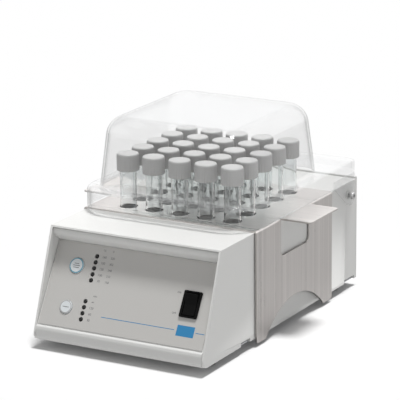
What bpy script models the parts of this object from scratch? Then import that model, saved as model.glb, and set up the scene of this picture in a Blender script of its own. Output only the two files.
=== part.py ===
"""Dry block heater: painted casing, heating block, lift-out vial rack and hinged clear cover.

Metres, +Z up. The origin is on the ground, under the middle of the casing. The control panel
faces -Y and the back plate faces +Y.
"""

import math

import bmesh
import bpy
from mathutils import Matrix, Vector

MM = 0.001
GAP = 0.3 * MM
OBJECT_NAME = "dry_block_heater"

# Casing
BODY_WIDTH = 180 * MM
BODY_DEPTH = 312.8 * MM
BODY_TOP = 110 * MM
FOOT_HEIGHT = 8 * MM
SIDE_SHEET = 2.0 * MM
TOP_SHEET = 1.5 * MM
FRONT_TOP_Y = -121.8 * MM
CHEEK_CORNER_RADIUS = 6 * MM
CHEEK_TOE_OVERREACH = 2.843 * MM
HALF_WIDTH = BODY_WIDTH / 2
HALF_DEPTH = BODY_DEPTH / 2
SHELL_REAR_Y = HALF_DEPTH - 3.4 * MM
INNER_HALF_WIDTH = HALF_WIDTH - SIDE_SHEET
NOTCH_SPANS = ((-86 * MM, -68 * MM), (128 * MM, 150 * MM))
NOTCH_TOP = 11.5 * MM
PIVOT_HOLE_RADIUS = 2.4 * MM
BACK_SHEET = 1.9 * MM
BACK_Y = HALF_DEPTH - 1.2 * MM
BACK_TOP = BODY_TOP + 1.8 * MM
BASE_TOP = FOOT_HEIGHT + 1.2 * MM
BASE_FRONT_Y = -139 * MM
BACK_SCREW_X = 80 * MM
BACK_SCREW_LEVELS = {"low": 18 * MM, "high": 100 * MM}
BACK_HOLE_RADIUS = 1.9 * MM
SCREW_HEAD_RADIUS = 3 * MM
SCREW_SHANK_RADIUS = 1.4 * MM
SCREW_SHANK_LENGTH = 8 * MM
FOOT_RADIUS = 10 * MM
FOOT_TREAD_RADIUS = 9 * MM
FOOT_STEM_RADIUS = 3 * MM
FOOT_HOLE_RADIUS = 3.4 * MM
FOOT_PLACES = {
    "foot_front_left": (-72 * MM, -120 * MM),
    "foot_front_right": (72 * MM, -120 * MM),
    "foot_rear_left": (-72 * MM, 130 * MM),
    "foot_rear_right": (72 * MM, 130 * MM),
}
INLET_X = 50 * MM
INLET_Z = 45 * MM
INLET_HALF_WIDTH = 13 * MM
INLET_HALF_HEIGHT = 16 * MM
INLET_FLANGE_WIDTH = 15 * MM
INLET_FLANGE_HEIGHT = 19 * MM
INLET_BODY_FRONT = 131 * MM
SOCKET_FLOOR_Y = 140 * MM
SOCKET_Z = INLET_Z + 5.5 * MM
SOCKET_HALF_WIDTH = 11 * MM
SOCKET_HALF_HEIGHT = 8 * MM
DRAWER_Z = INLET_Z - 10 * MM
DRAWER_SLOT_Y = 138 * MM
DRAWER_HALF_WIDTH = 9.7 * MM
DRAWER_HALF_HEIGHT = 3.5 * MM
PIN_LENGTH = 11 * MM
PIN_PLACES = ((-7 * MM, -2 * MM), (7 * MM, -2 * MM), (0, 2.5 * MM))

# Bay for the heating block, between the front and the rear of the casing
BAY_FRONT_Y = -59.6 * MM
BAY_REAR_Y = 95.05 * MM
BAY_WALL_TOP = BODY_TOP - GAP
BAY_PLATE_BOTTOM = BODY_TOP - 1.8 * MM
GRID_CENTRE_Y = 17.7 * MM
GRID_COUNT = 5
GRID_PITCH = 28 * MM

# Heating block and what surrounds it
BLOCK_HALF = 71 * MM
BLOCK_TOP = BODY_TOP - 2.3 * MM
BLOCK_BOTTOM = 49.4 * MM
BORE_RADIUS = 8.5 * MM
BORE_FLOOR = 63.3 * MM
INSULATION_WALL = 12 * MM
TRAY_SHEET = 1.2 * MM
TRAY_BOTTOM = 28.3 * MM
STAND_HALF_WIDTH = 66 * MM
STAND_SPAN = (10 * MM, 26 * MM)
STAND_SHEET = 1.5 * MM
STAND_POST_X = 56 * MM
STAND_POST_RADIUS = 6 * MM
HEATER_INSET = 3 * MM
HEATER_SHEET = 1.6 * MM
CLAMP_SHEET = 2 * MM
SENSOR_BORE_RADIUS = 2.3 * MM
SENSOR_RADIUS = 1.9 * MM
SENSOR_LENGTH = 36 * MM
SENSOR_DEPTH = 30 * MM
SENSOR_X = 14 * MM
SENSOR_Z = 56 * MM
SENSOR_WAY = (9 * MM, 19 * MM)
THERMOSTAT_X = 8 * MM
THERMOSTAT_RADIUS = 8 * MM
THERMOSTAT_NECK_RADIUS = 6 * MM
THERMOSTAT_STEP = 4 * MM

# Vial rack, one folded sheet
RACK_SHEET = 1.5 * MM
RACK_FRONT_Y = -59.75 * MM
RACK_REAR_Y = 95.2 * MM
RACK_OUTER_X = 92.5 * MM
RACK_LEG_BOTTOM = 3.5 * MM
RACK_TOP = BODY_TOP + RACK_SHEET
RACK_HOLE_RADIUS = 8.75 * MM
FLAP_HALF = 28.5 * MM
FLAP_TIP_X = 123.6 * MM
FLAP_CORNER = 2.5 * MM
RACK_TRIM = 0.05 * MM
WINDOW_HALF = 29 * MM
WINDOW_BOTTOM = 74.6 * MM
WINDOW_CORNER = 6 * MM
ARCH_RADIUS = 80 * MM
ARCH_TOP = 30 * MM

# Vials and caps
VIAL_RADIUS = 8 * MM
VIAL_WALL = 1.1 * MM
VIAL_BOTTOM = 63.6 * MM
CAP_RADIUS = 10.75 * MM
CAP_HEIGHT = 16.8 * MM
CAP_TOP = 163.7 * MM
CAP_CROWN = 1.8 * MM
WEB_WIDTH = 3 * MM

# Clear cover, one formed sheet
COVER_SHEET = 2.0 * MM
COVER_HALF_WIDTH = 93.5 * MM
COVER_FRONT_Y = -77 * MM
COVER_REAR_Y = 148 * MM
COVER_FRONT_RADIUS = 35 * MM
COVER_REAR_RADIUS = 8 * MM
FLANGE_Z = 132 * MM
DOME_HALF_WIDTH = 81 * MM
DOME_FRONT_Y = -65 * MM
DOME_REAR_Y = 99 * MM
DOME_TOP = 199.5 * MM
DOME_DRAFT = 4.6 * MM
DOME_FILLET = 17 * MM
DOME_CORNER = 24 * MM
COVER_CORNER_STEPS = 5
SKIRT_FRONT_Z = BODY_TOP + 0.35 * MM
SKIRT_SIDE_Z = 112.2 * MM
SKIRT_REAR_Z = 122.5 * MM
PIVOT_Y = 134.5 * MM
PIVOT_Z = 97.8 * MM
EAR_RADIUS = 10 * MM
EAR_SHEET = 1.8 * MM
EAR_MIDDLE_X = 92.5 * MM
EAR_FRONT_Y = 100 * MM
EAR_TOP_Z = 119 * MM
EAR_HOLE_RADIUS = 2.6 * MM
HINGE_HEAD_RADIUS = 3.7 * MM
HINGE_HEAD_HEIGHT = 2.4 * MM
HINGE_SHANK_RADIUS = 2 * MM
HINGE_SHANK_END = 84.5 * MM
SPACER_INNER_RADIUS = 2.45 * MM
SPACER_OUTER_RADIUS = 4.5 * MM
SPACER_END = HALF_WIDTH + 1.3 * MM

# Control panel: its own frame has X across, Y up the slope and Z out of the panel
PANEL_TOP_Y = -111 * MM
PANEL_TOP_Z = 93.8 * MM
PANEL_BOTTOM_Y = -153 * MM
PANEL_BOTTOM_Z = 23.2 * MM
FASCIA_SHEET = 1.5 * MM
FASCIA_PROFILE = (
    (-100 * MM, BODY_TOP - TOP_SHEET - GAP),
    (-118.6 * MM, BODY_TOP - TOP_SHEET - GAP),
    (-121 * MM, BODY_TOP - 3.2 * MM),
    (-121.7 * MM, BODY_TOP - 5.6 * MM),
    (-120.6 * MM, BODY_TOP - 8.6 * MM),
    (-117.4 * MM, BODY_TOP - 11.5 * MM),
    (PANEL_TOP_Y, PANEL_TOP_Z),
    (PANEL_BOTTOM_Y, PANEL_BOTTOM_Z),
    (-155.2 * MM, PANEL_BOTTOM_Z - 1.4 * MM),
    (-156.1 * MM, PANEL_BOTTOM_Z - 4.2 * MM),
    (-156.3 * MM, 12.5 * MM),
    (-155.2 * MM, 9.4 * MM),
    (-152.6 * MM, FOOT_HEIGHT),
    (-140 * MM, FOOT_HEIGHT),
)
FASCIA_HALF_WIDTH = INNER_HALF_WIDTH - GAP
OVERLAY_SHEET = 0.4 * MM
OVERLAY_TOP = GAP + OVERLAY_SHEET
OVERLAY_INSET = 0.7 * MM
BUTTON_X = -61.8 * MM
UPPER_BUTTON_V = 22.6 * MM
LOWER_BUTTON_V = 62.4 * MM
UPPER_BUTTON_RADIUS = 7.5 * MM
LOWER_BUTTON_RADIUS = 6.5 * MM
BUTTON_CLEARANCE = 0.4 * MM
BUTTON_TOP = OVERLAY_TOP + 1.0 * MM
BUTTON_EDGE = 0.6 * MM
BUTTON_FLANGE_TOP = -3.2 * MM
BUTTON_FLANGE_BOTTOM = -5.0 * MM
BUTTON_FLANGE_REACH = 1.5 * MM
KEY_HALF = 3 * MM
KEY_TOP = -6.2 * MM
LAMP_X = -43.3 * MM
LAMP_PITCH = 5.76 * MM
UPPER_LAMP_V = 11.1 * MM
LOWER_LAMP_V = 54.25 * MM
UPPER_LAMPS = [UPPER_LAMP_V + index * LAMP_PITCH for index in range(5)]
LOWER_LAMPS = [LOWER_LAMP_V + index * LAMP_PITCH for index in range(4)]
LAMP_RADIUS = 2.0 * MM
LAMP_CLEARANCE = 0.3 * MM
LAMP_BAR_HALF_WIDTH = 3 * MM
LAMP_BAR_THICKNESS = 3 * MM
SWITCH_X = 64.75 * MM
SWITCH_V = 41.5 * MM
SWITCH_WIDTH = 18.5 * MM
SWITCH_HEIGHT = 25.1 * MM
SWITCH_BODY_HALF = (7.7 * MM, 11.8 * MM)
SWITCH_OPENING_HALF = (8 * MM, 12.1 * MM)
SWITCH_ROOM_HALF = (6.7 * MM, 10.95 * MM)
SWITCH_ROOM_FLOOR = -12 * MM
SWITCH_BODY_DEPTH = -20 * MM
BEZEL_SHEET = 1.4 * MM
BEZEL_CORNER = 1.2 * MM
BEZEL_LIP = 0.4 * MM
ROCKER_WIDTH = 12.6 * MM
ROCKER_HALF = 10.2 * MM
ROCKER_PIVOT_DEPTH = -1.0 * MM
ROCKER_REST_TILT = math.radians(6)
ROCKER_END_RISE = 0.9 * MM
ROCKER_DISH = 0.2 * MM
ROCKER_KEEL_HALF = 5 * MM
ROCKER_KEEL_DEPTH = 4.5 * MM
ROCKER_SIDE_DEPTH = 2 * MM
BOARD_FACE = -9.5 * MM
BOARD_SHEET = 1.6 * MM
CONTROL_BOARD_MIDDLE = (-15 * MM, -41 * MM)
CONTROL_BOARD_HALF = (64 * MM, 36 * MM)

# Boards, relay and leads
POWER_BOARD_REAR_Y = 110 * MM
LEAD_RADIUS = 1.5 * MM
LEAD_Z = 13 * MM

# Segments of round pieces
FINE = 16
MEDIUM = 12
COARSE = 10

PLANES = {
    "XY": Matrix.Identity(4),
    "YZ": Matrix(((0, 0, 1, 0), (1, 0, 0, 0), (0, 1, 0, 0), (0, 0, 0, 1))),
    "XZ": Matrix(((1, 0, 0, 0), (0, 0, -1, 0), (0, 1, 0, 0), (0, 0, 0, 1))),
}


def clear_scene():
    """Remove every object that the scene starts with."""
    for obj in list(bpy.data.objects):
        bpy.data.objects.remove(obj, do_unlink=True)


def collection(name):
    """Return the named collection, linked to the scene."""
    found = bpy.data.collections.get(name)
    if found is None:
        found = bpy.data.collections.new(name)
        bpy.context.scene.collection.children.link(found)
    return found


def finish(name, colour, metallic=0.0, roughness=0.5, alpha=1.0):
    """Return a Principled material."""
    material = bpy.data.materials.new(name)
    material.use_nodes = True
    shader = material.node_tree.nodes["Principled BSDF"]
    shader.inputs["Base Color"].default_value = (*colour, 1.0)
    shader.inputs["Metallic"].default_value = metallic
    shader.inputs["Roughness"].default_value = roughness
    shader.inputs["Alpha"].default_value = alpha
    return material


def add_object(name, mesh, material=None, cutter=False):
    """Link a mesh as a named part, or as a hidden cutter."""
    obj = bpy.data.objects.new(name, mesh)
    collection("cutters" if cutter else OBJECT_NAME).objects.link(obj)
    if cutter:
        obj.hide_render = True
        obj.display_type = "WIRE"
    if material is not None:
        mesh.materials.clear()
        mesh.materials.append(material)
    return obj


def evaluated_mesh(obj):
    """Return the object's evaluated shape as a clean closed mesh, and remove the object."""
    bpy.context.view_layer.update()
    graph = bpy.context.evaluated_depsgraph_get()
    mesh = bpy.data.meshes.new_from_object(obj.evaluated_get(graph))
    bpy.data.objects.remove(obj, do_unlink=True)
    bm = bmesh.new()
    bm.from_mesh(mesh)
    bmesh.ops.remove_doubles(bm, verts=bm.verts, dist=0.005 * MM)
    bmesh.ops.dissolve_degenerate(bm, edges=bm.edges, dist=0.005 * MM)
    bmesh.ops.dissolve_limit(bm, angle_limit=math.radians(0.1), verts=bm.verts, edges=bm.edges)
    bmesh.ops.recalc_face_normals(bm, faces=bm.faces)
    bm.to_mesh(mesh)
    bm.free()
    return mesh


def rounded(corners, steps=3):
    """Return an outline through (x, y, radius) corners, with an arc at each rounded corner."""
    points = []
    for index, (x, y, radius) in enumerate(corners):
        here = Vector((x, y))
        if radius == 0:
            points.append(here)
            continue
        before = (Vector(corners[index - 1][:2]) - here).normalized()
        after = (Vector(corners[(index + 1) % len(corners)][:2]) - here).normalized()
        half_angle = before.angle(after) / 2
        centre = here + (before + after).normalized() * radius / math.sin(half_angle)
        start = (here + before * radius / math.tan(half_angle) - centre).normalized()
        end = (here + after * radius / math.tan(half_angle) - centre).normalized()
        points += [centre + start.slerp(end, step / steps) * radius for step in range(steps + 1)]
    return points


def rectangle(x, y, half_x, half_y, radius=0):
    """Return the outline of a rectangle about (x, y)."""
    signs = ((-1, -1), (1, -1), (1, 1), (-1, 1))
    return rounded([(x + sx * half_x, y + sy * half_y, radius) for sx, sy in signs])


def circle(x, y, radius, segments=MEDIUM):
    """Return the outline of a circle about (x, y)."""
    angles = [2 * math.pi * step / segments for step in range(segments)]
    return [Vector((x + radius * math.cos(angle), y + radius * math.sin(angle))) for angle in angles]


def arc(x, y, radius, start_deg, end_deg, steps):
    """Return points along an arc, in degrees counted from the first axis."""
    angles = [math.radians(start_deg + (end_deg - start_deg) * step / steps) for step in range(steps + 1)]
    return [Vector((x + radius * math.cos(angle), y + radius * math.sin(angle))) for angle in angles]


def plate_mesh(outline, thickness, holes=()):
    """Return a flat plate cut to an outline, with its holes, centred on its thickness."""
    curve = bpy.data.curves.new("outline", "CURVE")
    curve.dimensions = "2D"
    curve.fill_mode = "BOTH"
    curve.extrude = thickness / 2
    for loop in (outline, *holes):
        spline = curve.splines.new("POLY")
        spline.points.add(len(loop) - 1)
        for point, place in zip(spline.points, loop):
            point.co = (place[0], place[1], 0, 1)
        spline.use_cyclic_u = True
    flat = bpy.data.objects.new("outline", curve)
    bpy.context.scene.collection.objects.link(flat)
    mesh = evaluated_mesh(flat)
    bpy.data.curves.remove(curve)
    return mesh


def plate(name, outline, thickness, plane, offset, material=None, holes=(), cutter=False):
    """Add a plate that lies in a plane, with the middle of its thickness at the offset."""
    obj = add_object(name, plate_mesh(outline, thickness, holes), material, cutter)
    turn = PLANES[plane]
    obj.matrix_world = Matrix.Translation(turn.to_3x3() @ Vector((0, 0, offset))) @ turn
    return obj


def box(name, low, high, material=None, cutter=False):
    """Add a box between two corners."""
    low = Vector(low)
    high = Vector(high)
    bm = bmesh.new()
    bmesh.ops.create_cube(bm, size=1)
    bmesh.ops.scale(bm, vec=high - low, verts=bm.verts)
    mesh = bpy.data.meshes.new(name)
    bm.to_mesh(mesh)
    bm.free()
    obj = add_object(name, mesh, material, cutter)
    obj.location = (low + high) / 2
    return obj


def turned_mesh(profile, steps):
    """Return a shape turned about Z from (radius, height) points, down its outer side."""
    bm = bmesh.new()
    verts = [bm.verts.new((radius, 0, height)) for radius, height in profile]
    for first, second in zip(verts, verts[1:]):
        bm.edges.new((first, second))
    if profile[0][0] > 0:
        bm.edges.new((verts[-1], verts[0]))
    mesh = bpy.data.meshes.new("profile")
    bm.to_mesh(mesh)
    bm.free()
    shape = bpy.data.objects.new("profile", mesh)
    bpy.context.scene.collection.objects.link(shape)
    screw = shape.modifiers.new("turn", "SCREW")
    screw.steps = steps
    screw.render_steps = steps
    screw.use_merge_vertices = True
    screw.merge_threshold = 0.01 * MM
    return evaluated_mesh(shape)


def repeated_mesh(mesh, transforms):
    """Return one mesh that holds a separate copy of a shape at each transform."""
    bm = bmesh.new()
    for transform in transforms:
        copy = mesh.copy()
        copy.transform(transform)
        bm.from_mesh(copy)
        bpy.data.meshes.remove(copy)
    result = bpy.data.meshes.new("group")
    bm.to_mesh(result)
    bm.free()
    return result


def turned(name, profile, steps, transform, material=None, cutter=False):
    """Add a turned piece at a transform."""
    obj = add_object(name, turned_mesh(profile, steps), material, cutter)
    obj.matrix_world = transform
    return obj


def turned_each(places, profile, steps, material):
    """Add equal turned pieces, one for each name and transform."""
    mesh = turned_mesh(profile, steps)
    for name, transform in places.items():
        add_object(name, mesh, material).matrix_world = transform


def rod(radius, bottom, top):
    """Return the profile of a plain cylinder."""
    return [(0, top), (radius, top), (radius, bottom), (0, bottom)]


def ring(inner, outer, bottom, top):
    """Return the profile of a ring or a tube."""
    return [(inner, top), (outer, top), (outer, bottom), (inner, bottom)]


def at(x, y, z=0.0):
    """Return a move to a place."""
    return Matrix.Translation((x, y, z))


def outward(side):
    """Return the turn that takes +Z to +X, or to -X on the left side."""
    return Matrix.Rotation(side * math.pi / 2, 4, "Y")


def boolean(obj, tool, operation="DIFFERENCE"):
    """Cut, or join, a part with a tool shape."""
    modifier = obj.modifiers.new(tool.name, "BOOLEAN")
    modifier.operation = operation
    modifier.solver = "EXACT"
    modifier.object = tool


def cut_box(obj, name, low, high):
    """Cut a box between two corners out of a part."""
    boolean(obj, box(name, low, high, cutter=True))


def thicken(obj, thickness):
    """Give a sheet its wall, inwards from its drawn face."""
    wall = obj.modifiers.new("sheet", "SOLIDIFY")
    wall.thickness = thickness
    wall.offset = -1
    wall.use_even_offset = True


def empty(name, matrix, parent=None):
    """Add an empty that carries the pieces placed in its frame."""
    obj = bpy.data.objects.new(name, None)
    collection(OBJECT_NAME).objects.link(obj)
    obj.parent = parent
    obj.matrix_local = matrix
    return obj


def hang_on(parent, *pieces):
    """Place pieces in a parent's frame."""
    for piece in pieces:
        piece.parent = parent


def wire(name, points, radius, material):
    """Add a wire that follows a smoothed route."""
    route = [Vector(point) for point in points]
    for _ in range(2):
        middle = [p.lerp(q, t) for p, q in zip(route, route[1:]) for t in (0.25, 0.75)]
        route = [route[0], *middle[1:-1], route[-1]]
    curve = bpy.data.curves.new(name, "CURVE")
    curve.dimensions = "3D"
    curve.bevel_depth = radius
    curve.bevel_resolution = 2
    curve.use_fill_caps = True
    spline = curve.splines.new("POLY")
    spline.points.add(len(route) - 1)
    for point, place in zip(spline.points, route):
        point.co = (*place, 1)
    curve.materials.append(material)
    obj = bpy.data.objects.new(name, curve)
    collection(OBJECT_NAME).objects.link(obj)
    return obj


def grid_offsets():
    """Return the vial positions along one side of the grid, from its middle."""
    return [(index - (GRID_COUNT - 1) / 2) * GRID_PITCH for index in range(GRID_COUNT)]


def grid_cutter(name, radius, bottom):
    """Return a cutter with one round hole for each vial."""
    hole = turned_mesh(rod(radius, bottom, BODY_TOP + 5 * MM), MEDIUM)
    places = [at(x, GRID_CENTRE_Y + y) for x in grid_offsets() for y in grid_offsets()]
    return add_object(name, repeated_mesh(hole, places), cutter=True)


def make_casing(paint):
    """Add the painted shell: two side walls with front cheeks, the front top and the rear top."""
    outline = rounded([
        (SHELL_REAR_Y, FOOT_HEIGHT, 0),
        (SHELL_REAR_Y, BODY_TOP, 0),
        (FRONT_TOP_Y, BODY_TOP, 0),
        (-HALF_DEPTH - CHEEK_TOE_OVERREACH, FOOT_HEIGHT, CHEEK_CORNER_RADIUS),
    ])
    shell = plate("housing_shell", outline, BODY_WIDTH, "YZ", 0, paint)
    beyond = HALF_WIDTH + MM
    cut_box(shell, "cut_room", (-INNER_HALF_WIDTH, -BODY_DEPTH, 0),
            (INNER_HALF_WIDTH, BODY_DEPTH, BODY_TOP - TOP_SHEET))
    cut_box(shell, "cut_bay", (-INNER_HALF_WIDTH, BAY_FRONT_Y, BODY_TOP - 10 * MM),
            (INNER_HALF_WIDTH, BAY_REAR_Y, BODY_TOP + MM))
    cut_box(shell, "cut_wall_tops", (-beyond, BAY_FRONT_Y, BAY_WALL_TOP),
            (beyond, BAY_REAR_Y, BODY_TOP + MM))
    for index, (front, rear) in enumerate(NOTCH_SPANS):
        cut_box(shell, f"cut_notch_{index}", (-beyond, front, 0), (beyond, rear, NOTCH_TOP))
    pivots = turned("cut_pivots", rod(PIVOT_HOLE_RADIUS, -beyond, beyond), MEDIUM,
                    at(0, PIVOT_Y, PIVOT_Z) @ outward(1), cutter=True)
    boolean(shell, pivots)


def make_back(paint, screw_steel):
    """Add the back plate and its screws."""
    screw_places = {
        f"back_screw_{level}_{side}": (sign * BACK_SCREW_X, z)
        for side, sign in (("left", -1), ("right", 1))
        for level, z in BACK_SCREW_LEVELS.items()
    }
    clearance = 0.5 * MM
    holes = [circle(x, z, BACK_HOLE_RADIUS, COARSE) for x, z in screw_places.values()]
    holes.append(rectangle(INLET_X, INLET_Z, INLET_HALF_WIDTH + clearance, INLET_HALF_HEIGHT + clearance))
    middle_z = (FOOT_HEIGHT + BACK_TOP) / 2
    outline = rectangle(0, middle_z, HALF_WIDTH, (BACK_TOP - FOOT_HEIGHT) / 2)
    plate("back_plate", outline, BACK_SHEET, "XZ", -(BACK_Y - BACK_SHEET / 2), paint, holes)
    head_bottom = BACK_Y + GAP
    shank_end = BACK_Y - SCREW_SHANK_LENGTH
    profile = [
        (0, HALF_DEPTH),
        (SCREW_HEAD_RADIUS, HALF_DEPTH),
        (SCREW_HEAD_RADIUS, head_bottom),
        (SCREW_SHANK_RADIUS, head_bottom),
        (SCREW_SHANK_RADIUS, shank_end),
        (0, shank_end),
    ]
    rearwards = Matrix.Rotation(-math.pi / 2, 4, "X")
    places = {name: at(x, 0, z) @ rearwards for name, (x, z) in screw_places.items()}
    turned_each(places, profile, COARSE, screw_steel)


def make_base(steel, rubber):
    """Add the base plate, the push-in feet and the stand that carries the tray."""
    rear = SHELL_REAR_Y - GAP
    holes = [circle(x, y, FOOT_HOLE_RADIUS, MEDIUM) for x, y in FOOT_PLACES.values()]
    outline = rectangle(0, (BASE_FRONT_Y + rear) / 2, INNER_HALF_WIDTH - GAP, (rear - BASE_FRONT_Y) / 2)
    plate("base_plate", outline, BASE_TOP - FOOT_HEIGHT, "XY", (BASE_TOP + FOOT_HEIGHT) / 2, steel, holes)
    foot_top = FOOT_HEIGHT - GAP
    profile = [
        (0, BASE_TOP + 3 * MM),
        (FOOT_STEM_RADIUS, BASE_TOP + 2 * MM),
        (FOOT_STEM_RADIUS, foot_top),
        (FOOT_RADIUS, foot_top),
        (FOOT_TREAD_RADIUS, 0),
        (0, 0),
    ]
    turned_each({name: at(x, y) for name, (x, y) in FOOT_PLACES.items()}, profile, MEDIUM, rubber)
    front_y, rear_y = STAND_SPAN
    bottom = BASE_TOP + GAP
    stand = box("tray_stand", (-STAND_HALF_WIDTH, front_y, bottom),
                (STAND_HALF_WIDTH, rear_y, bottom + STAND_SHEET), steel)
    post = turned_mesh(rod(STAND_POST_RADIUS, bottom + GAP, TRAY_BOTTOM - GAP), 6)
    places = [at(x, y) for x in (-STAND_POST_X, STAND_POST_X) for y in STAND_SPAN]
    boolean(stand, add_object("join_posts", repeated_mesh(post, places), cutter=True), "UNION")


def fascia_mesh():
    """Return the front sheet's outer face, swept across the casing's width."""
    bm = bmesh.new()
    verts = [bm.verts.new((FASCIA_HALF_WIDTH, y, z)) for y, z in FASCIA_PROFILE]
    edges = [bm.edges.new(pair) for pair in zip(verts, verts[1:])]
    swept = bmesh.ops.extrude_edge_only(bm, edges=edges)["geom"]
    moved = [item for item in swept if isinstance(item, bmesh.types.BMVert)]
    bmesh.ops.translate(bm, vec=(-2 * FASCIA_HALF_WIDTH, 0, 0), verts=moved)
    bmesh.ops.recalc_face_normals(bm, faces=bm.faces)
    if sum(face.normal.y for face in bm.faces) > 0:
        bmesh.ops.reverse_faces(bm, faces=bm.faces)
    mesh = bpy.data.meshes.new("front_fascia")
    bm.to_mesh(mesh)
    bm.free()
    return mesh


def make_fascia(paint, frame, cutter):
    """Add the folded front sheet, with its lip, sloping panel and ledge, and the printed overlay."""
    fascia = add_object("front_fascia", fascia_mesh(), paint)
    thicken(fascia, FASCIA_SHEET)
    boolean(fascia, cutter)
    length = math.dist((PANEL_TOP_Y, PANEL_TOP_Z), (PANEL_BOTTOM_Y, PANEL_BOTTOM_Z))
    outline = rectangle(0, -length / 2, FASCIA_HALF_WIDTH - MM, length / 2 - OVERLAY_INSET)
    film = finish("overlay", (0.5, 0.49, 0.475))
    overlay = plate("panel_overlay", outline, OVERLAY_SHEET, "XY", GAP + OVERLAY_SHEET / 2, film)
    hang_on(frame, overlay)
    boolean(overlay, cutter)


def panel_frame():
    """Return the empty at the top of the sloping panel, turned to lie on it."""
    up = Vector((0, PANEL_TOP_Y - PANEL_BOTTOM_Y, PANEL_TOP_Z - PANEL_BOTTOM_Z)).normalized()
    tilt = math.atan2(up.z, up.y)
    place = at(0, PANEL_TOP_Y, PANEL_TOP_Z) @ Matrix.Rotation(tilt, 4, "X")
    return empty("panel_frame", place)


def make_panel_cutter(frame):
    """Return one cutter for every opening in the panel."""
    reach = 6 * MM
    opening = plate_mesh(rectangle(SWITCH_X, -SWITCH_V, *SWITCH_OPENING_HALF), 2 * reach)
    shapes = [(opening, Matrix.Identity(4))]
    for radius, v in ((UPPER_BUTTON_RADIUS, UPPER_BUTTON_V), (LOWER_BUTTON_RADIUS, LOWER_BUTTON_V)):
        hole = turned_mesh(rod(radius + BUTTON_CLEARANCE, -reach, reach), FINE)
        shapes.append((hole, at(BUTTON_X, -v)))
    lamp = turned_mesh(rod(LAMP_RADIUS + LAMP_CLEARANCE, -reach, reach), COARSE)
    shapes += [(lamp, at(LAMP_X, -v)) for v in UPPER_LAMPS + LOWER_LAMPS]
    bm = bmesh.new()
    for mesh, transform in shapes:
        copy = mesh.copy()
        copy.transform(transform)
        bm.from_mesh(copy)
    mesh = bpy.data.meshes.new("cut_panel")
    bm.to_mesh(mesh)
    bm.free()
    cutter = add_object("cut_panel", mesh, cutter=True)
    hang_on(frame, cutter)
    return cutter


def make_button(frame, level, radius, v, white, black):
    """Add one push button, with its origin on its axis, and the key switch under it."""
    profile = [
        (0, BUTTON_TOP),
        (radius - BUTTON_EDGE, BUTTON_TOP),
        (radius, BUTTON_TOP - BUTTON_EDGE),
        (radius, BUTTON_FLANGE_TOP),
        (radius + BUTTON_FLANGE_REACH, BUTTON_FLANGE_TOP),
        (radius + BUTTON_FLANGE_REACH, BUTTON_FLANGE_BOTTOM),
        (0, BUTTON_FLANGE_BOTTOM),
    ]
    button = add_object(f"button_{level}", turned_mesh(profile, FINE), white)
    bottom = BOARD_FACE + GAP
    key = box(f"key_switch_{level}", (-KEY_HALF, -KEY_HALF, bottom), (KEY_HALF, KEY_HALF, KEY_TOP), black)
    hang_on(frame, button, key)
    button.location = (BUTTON_X, -v, 0)
    key.location = (BUTTON_X, -v, (bottom + KEY_TOP) / 2)


def make_buttons(frame):
    """Add the two push buttons and the key switches under them."""
    white = finish("button_white", (0.78, 0.80, 0.80), roughness=0.4)
    black = finish("key_black", (0.02, 0.02, 0.02))
    make_button(frame, "upper", UPPER_BUTTON_RADIUS, UPPER_BUTTON_V, white, black)
    make_button(frame, "lower", LOWER_BUTTON_RADIUS, LOWER_BUTTON_V, white, black)


def make_control_board(frame):
    """Add the board behind the panel and its indicator lamps."""
    green = finish("board_green", (0.03, 0.16, 0.07))
    dark = finish("lamp_dark", (0.02, 0.02, 0.02), 0, 0.2)
    outline = rectangle(*CONTROL_BOARD_MIDDLE, *CONTROL_BOARD_HALF)
    board = plate("control_board", outline, BOARD_SHEET, "XY", BOARD_FACE - BOARD_SHEET / 2, green)
    hang_on(frame, board)
    lamp = turned_mesh(rod(LAMP_RADIUS, BOARD_FACE + MM, OVERLAY_TOP), COARSE)
    bottom = BOARD_FACE + GAP
    top = BOARD_FACE + LAMP_BAR_THICKNESS
    for name, heights in (("lamp_bar_upper", UPPER_LAMPS), ("lamp_bar_lower", LOWER_LAMPS)):
        middle = -(heights[0] + heights[-1]) / 2
        half = (heights[-1] - heights[0]) / 2 + LAMP_BAR_HALF_WIDTH
        outline = rectangle(LAMP_X, middle, LAMP_BAR_HALF_WIDTH, half)
        bar = plate(name, outline, top - bottom, "XY", (top + bottom) / 2, dark)
        column = repeated_mesh(lamp, [at(LAMP_X, -v) for v in heights])
        lamps = add_object(f"join_{name}", column, cutter=True)
        boolean(bar, lamps, "UNION")
        hang_on(frame, bar, lamps)


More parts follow.
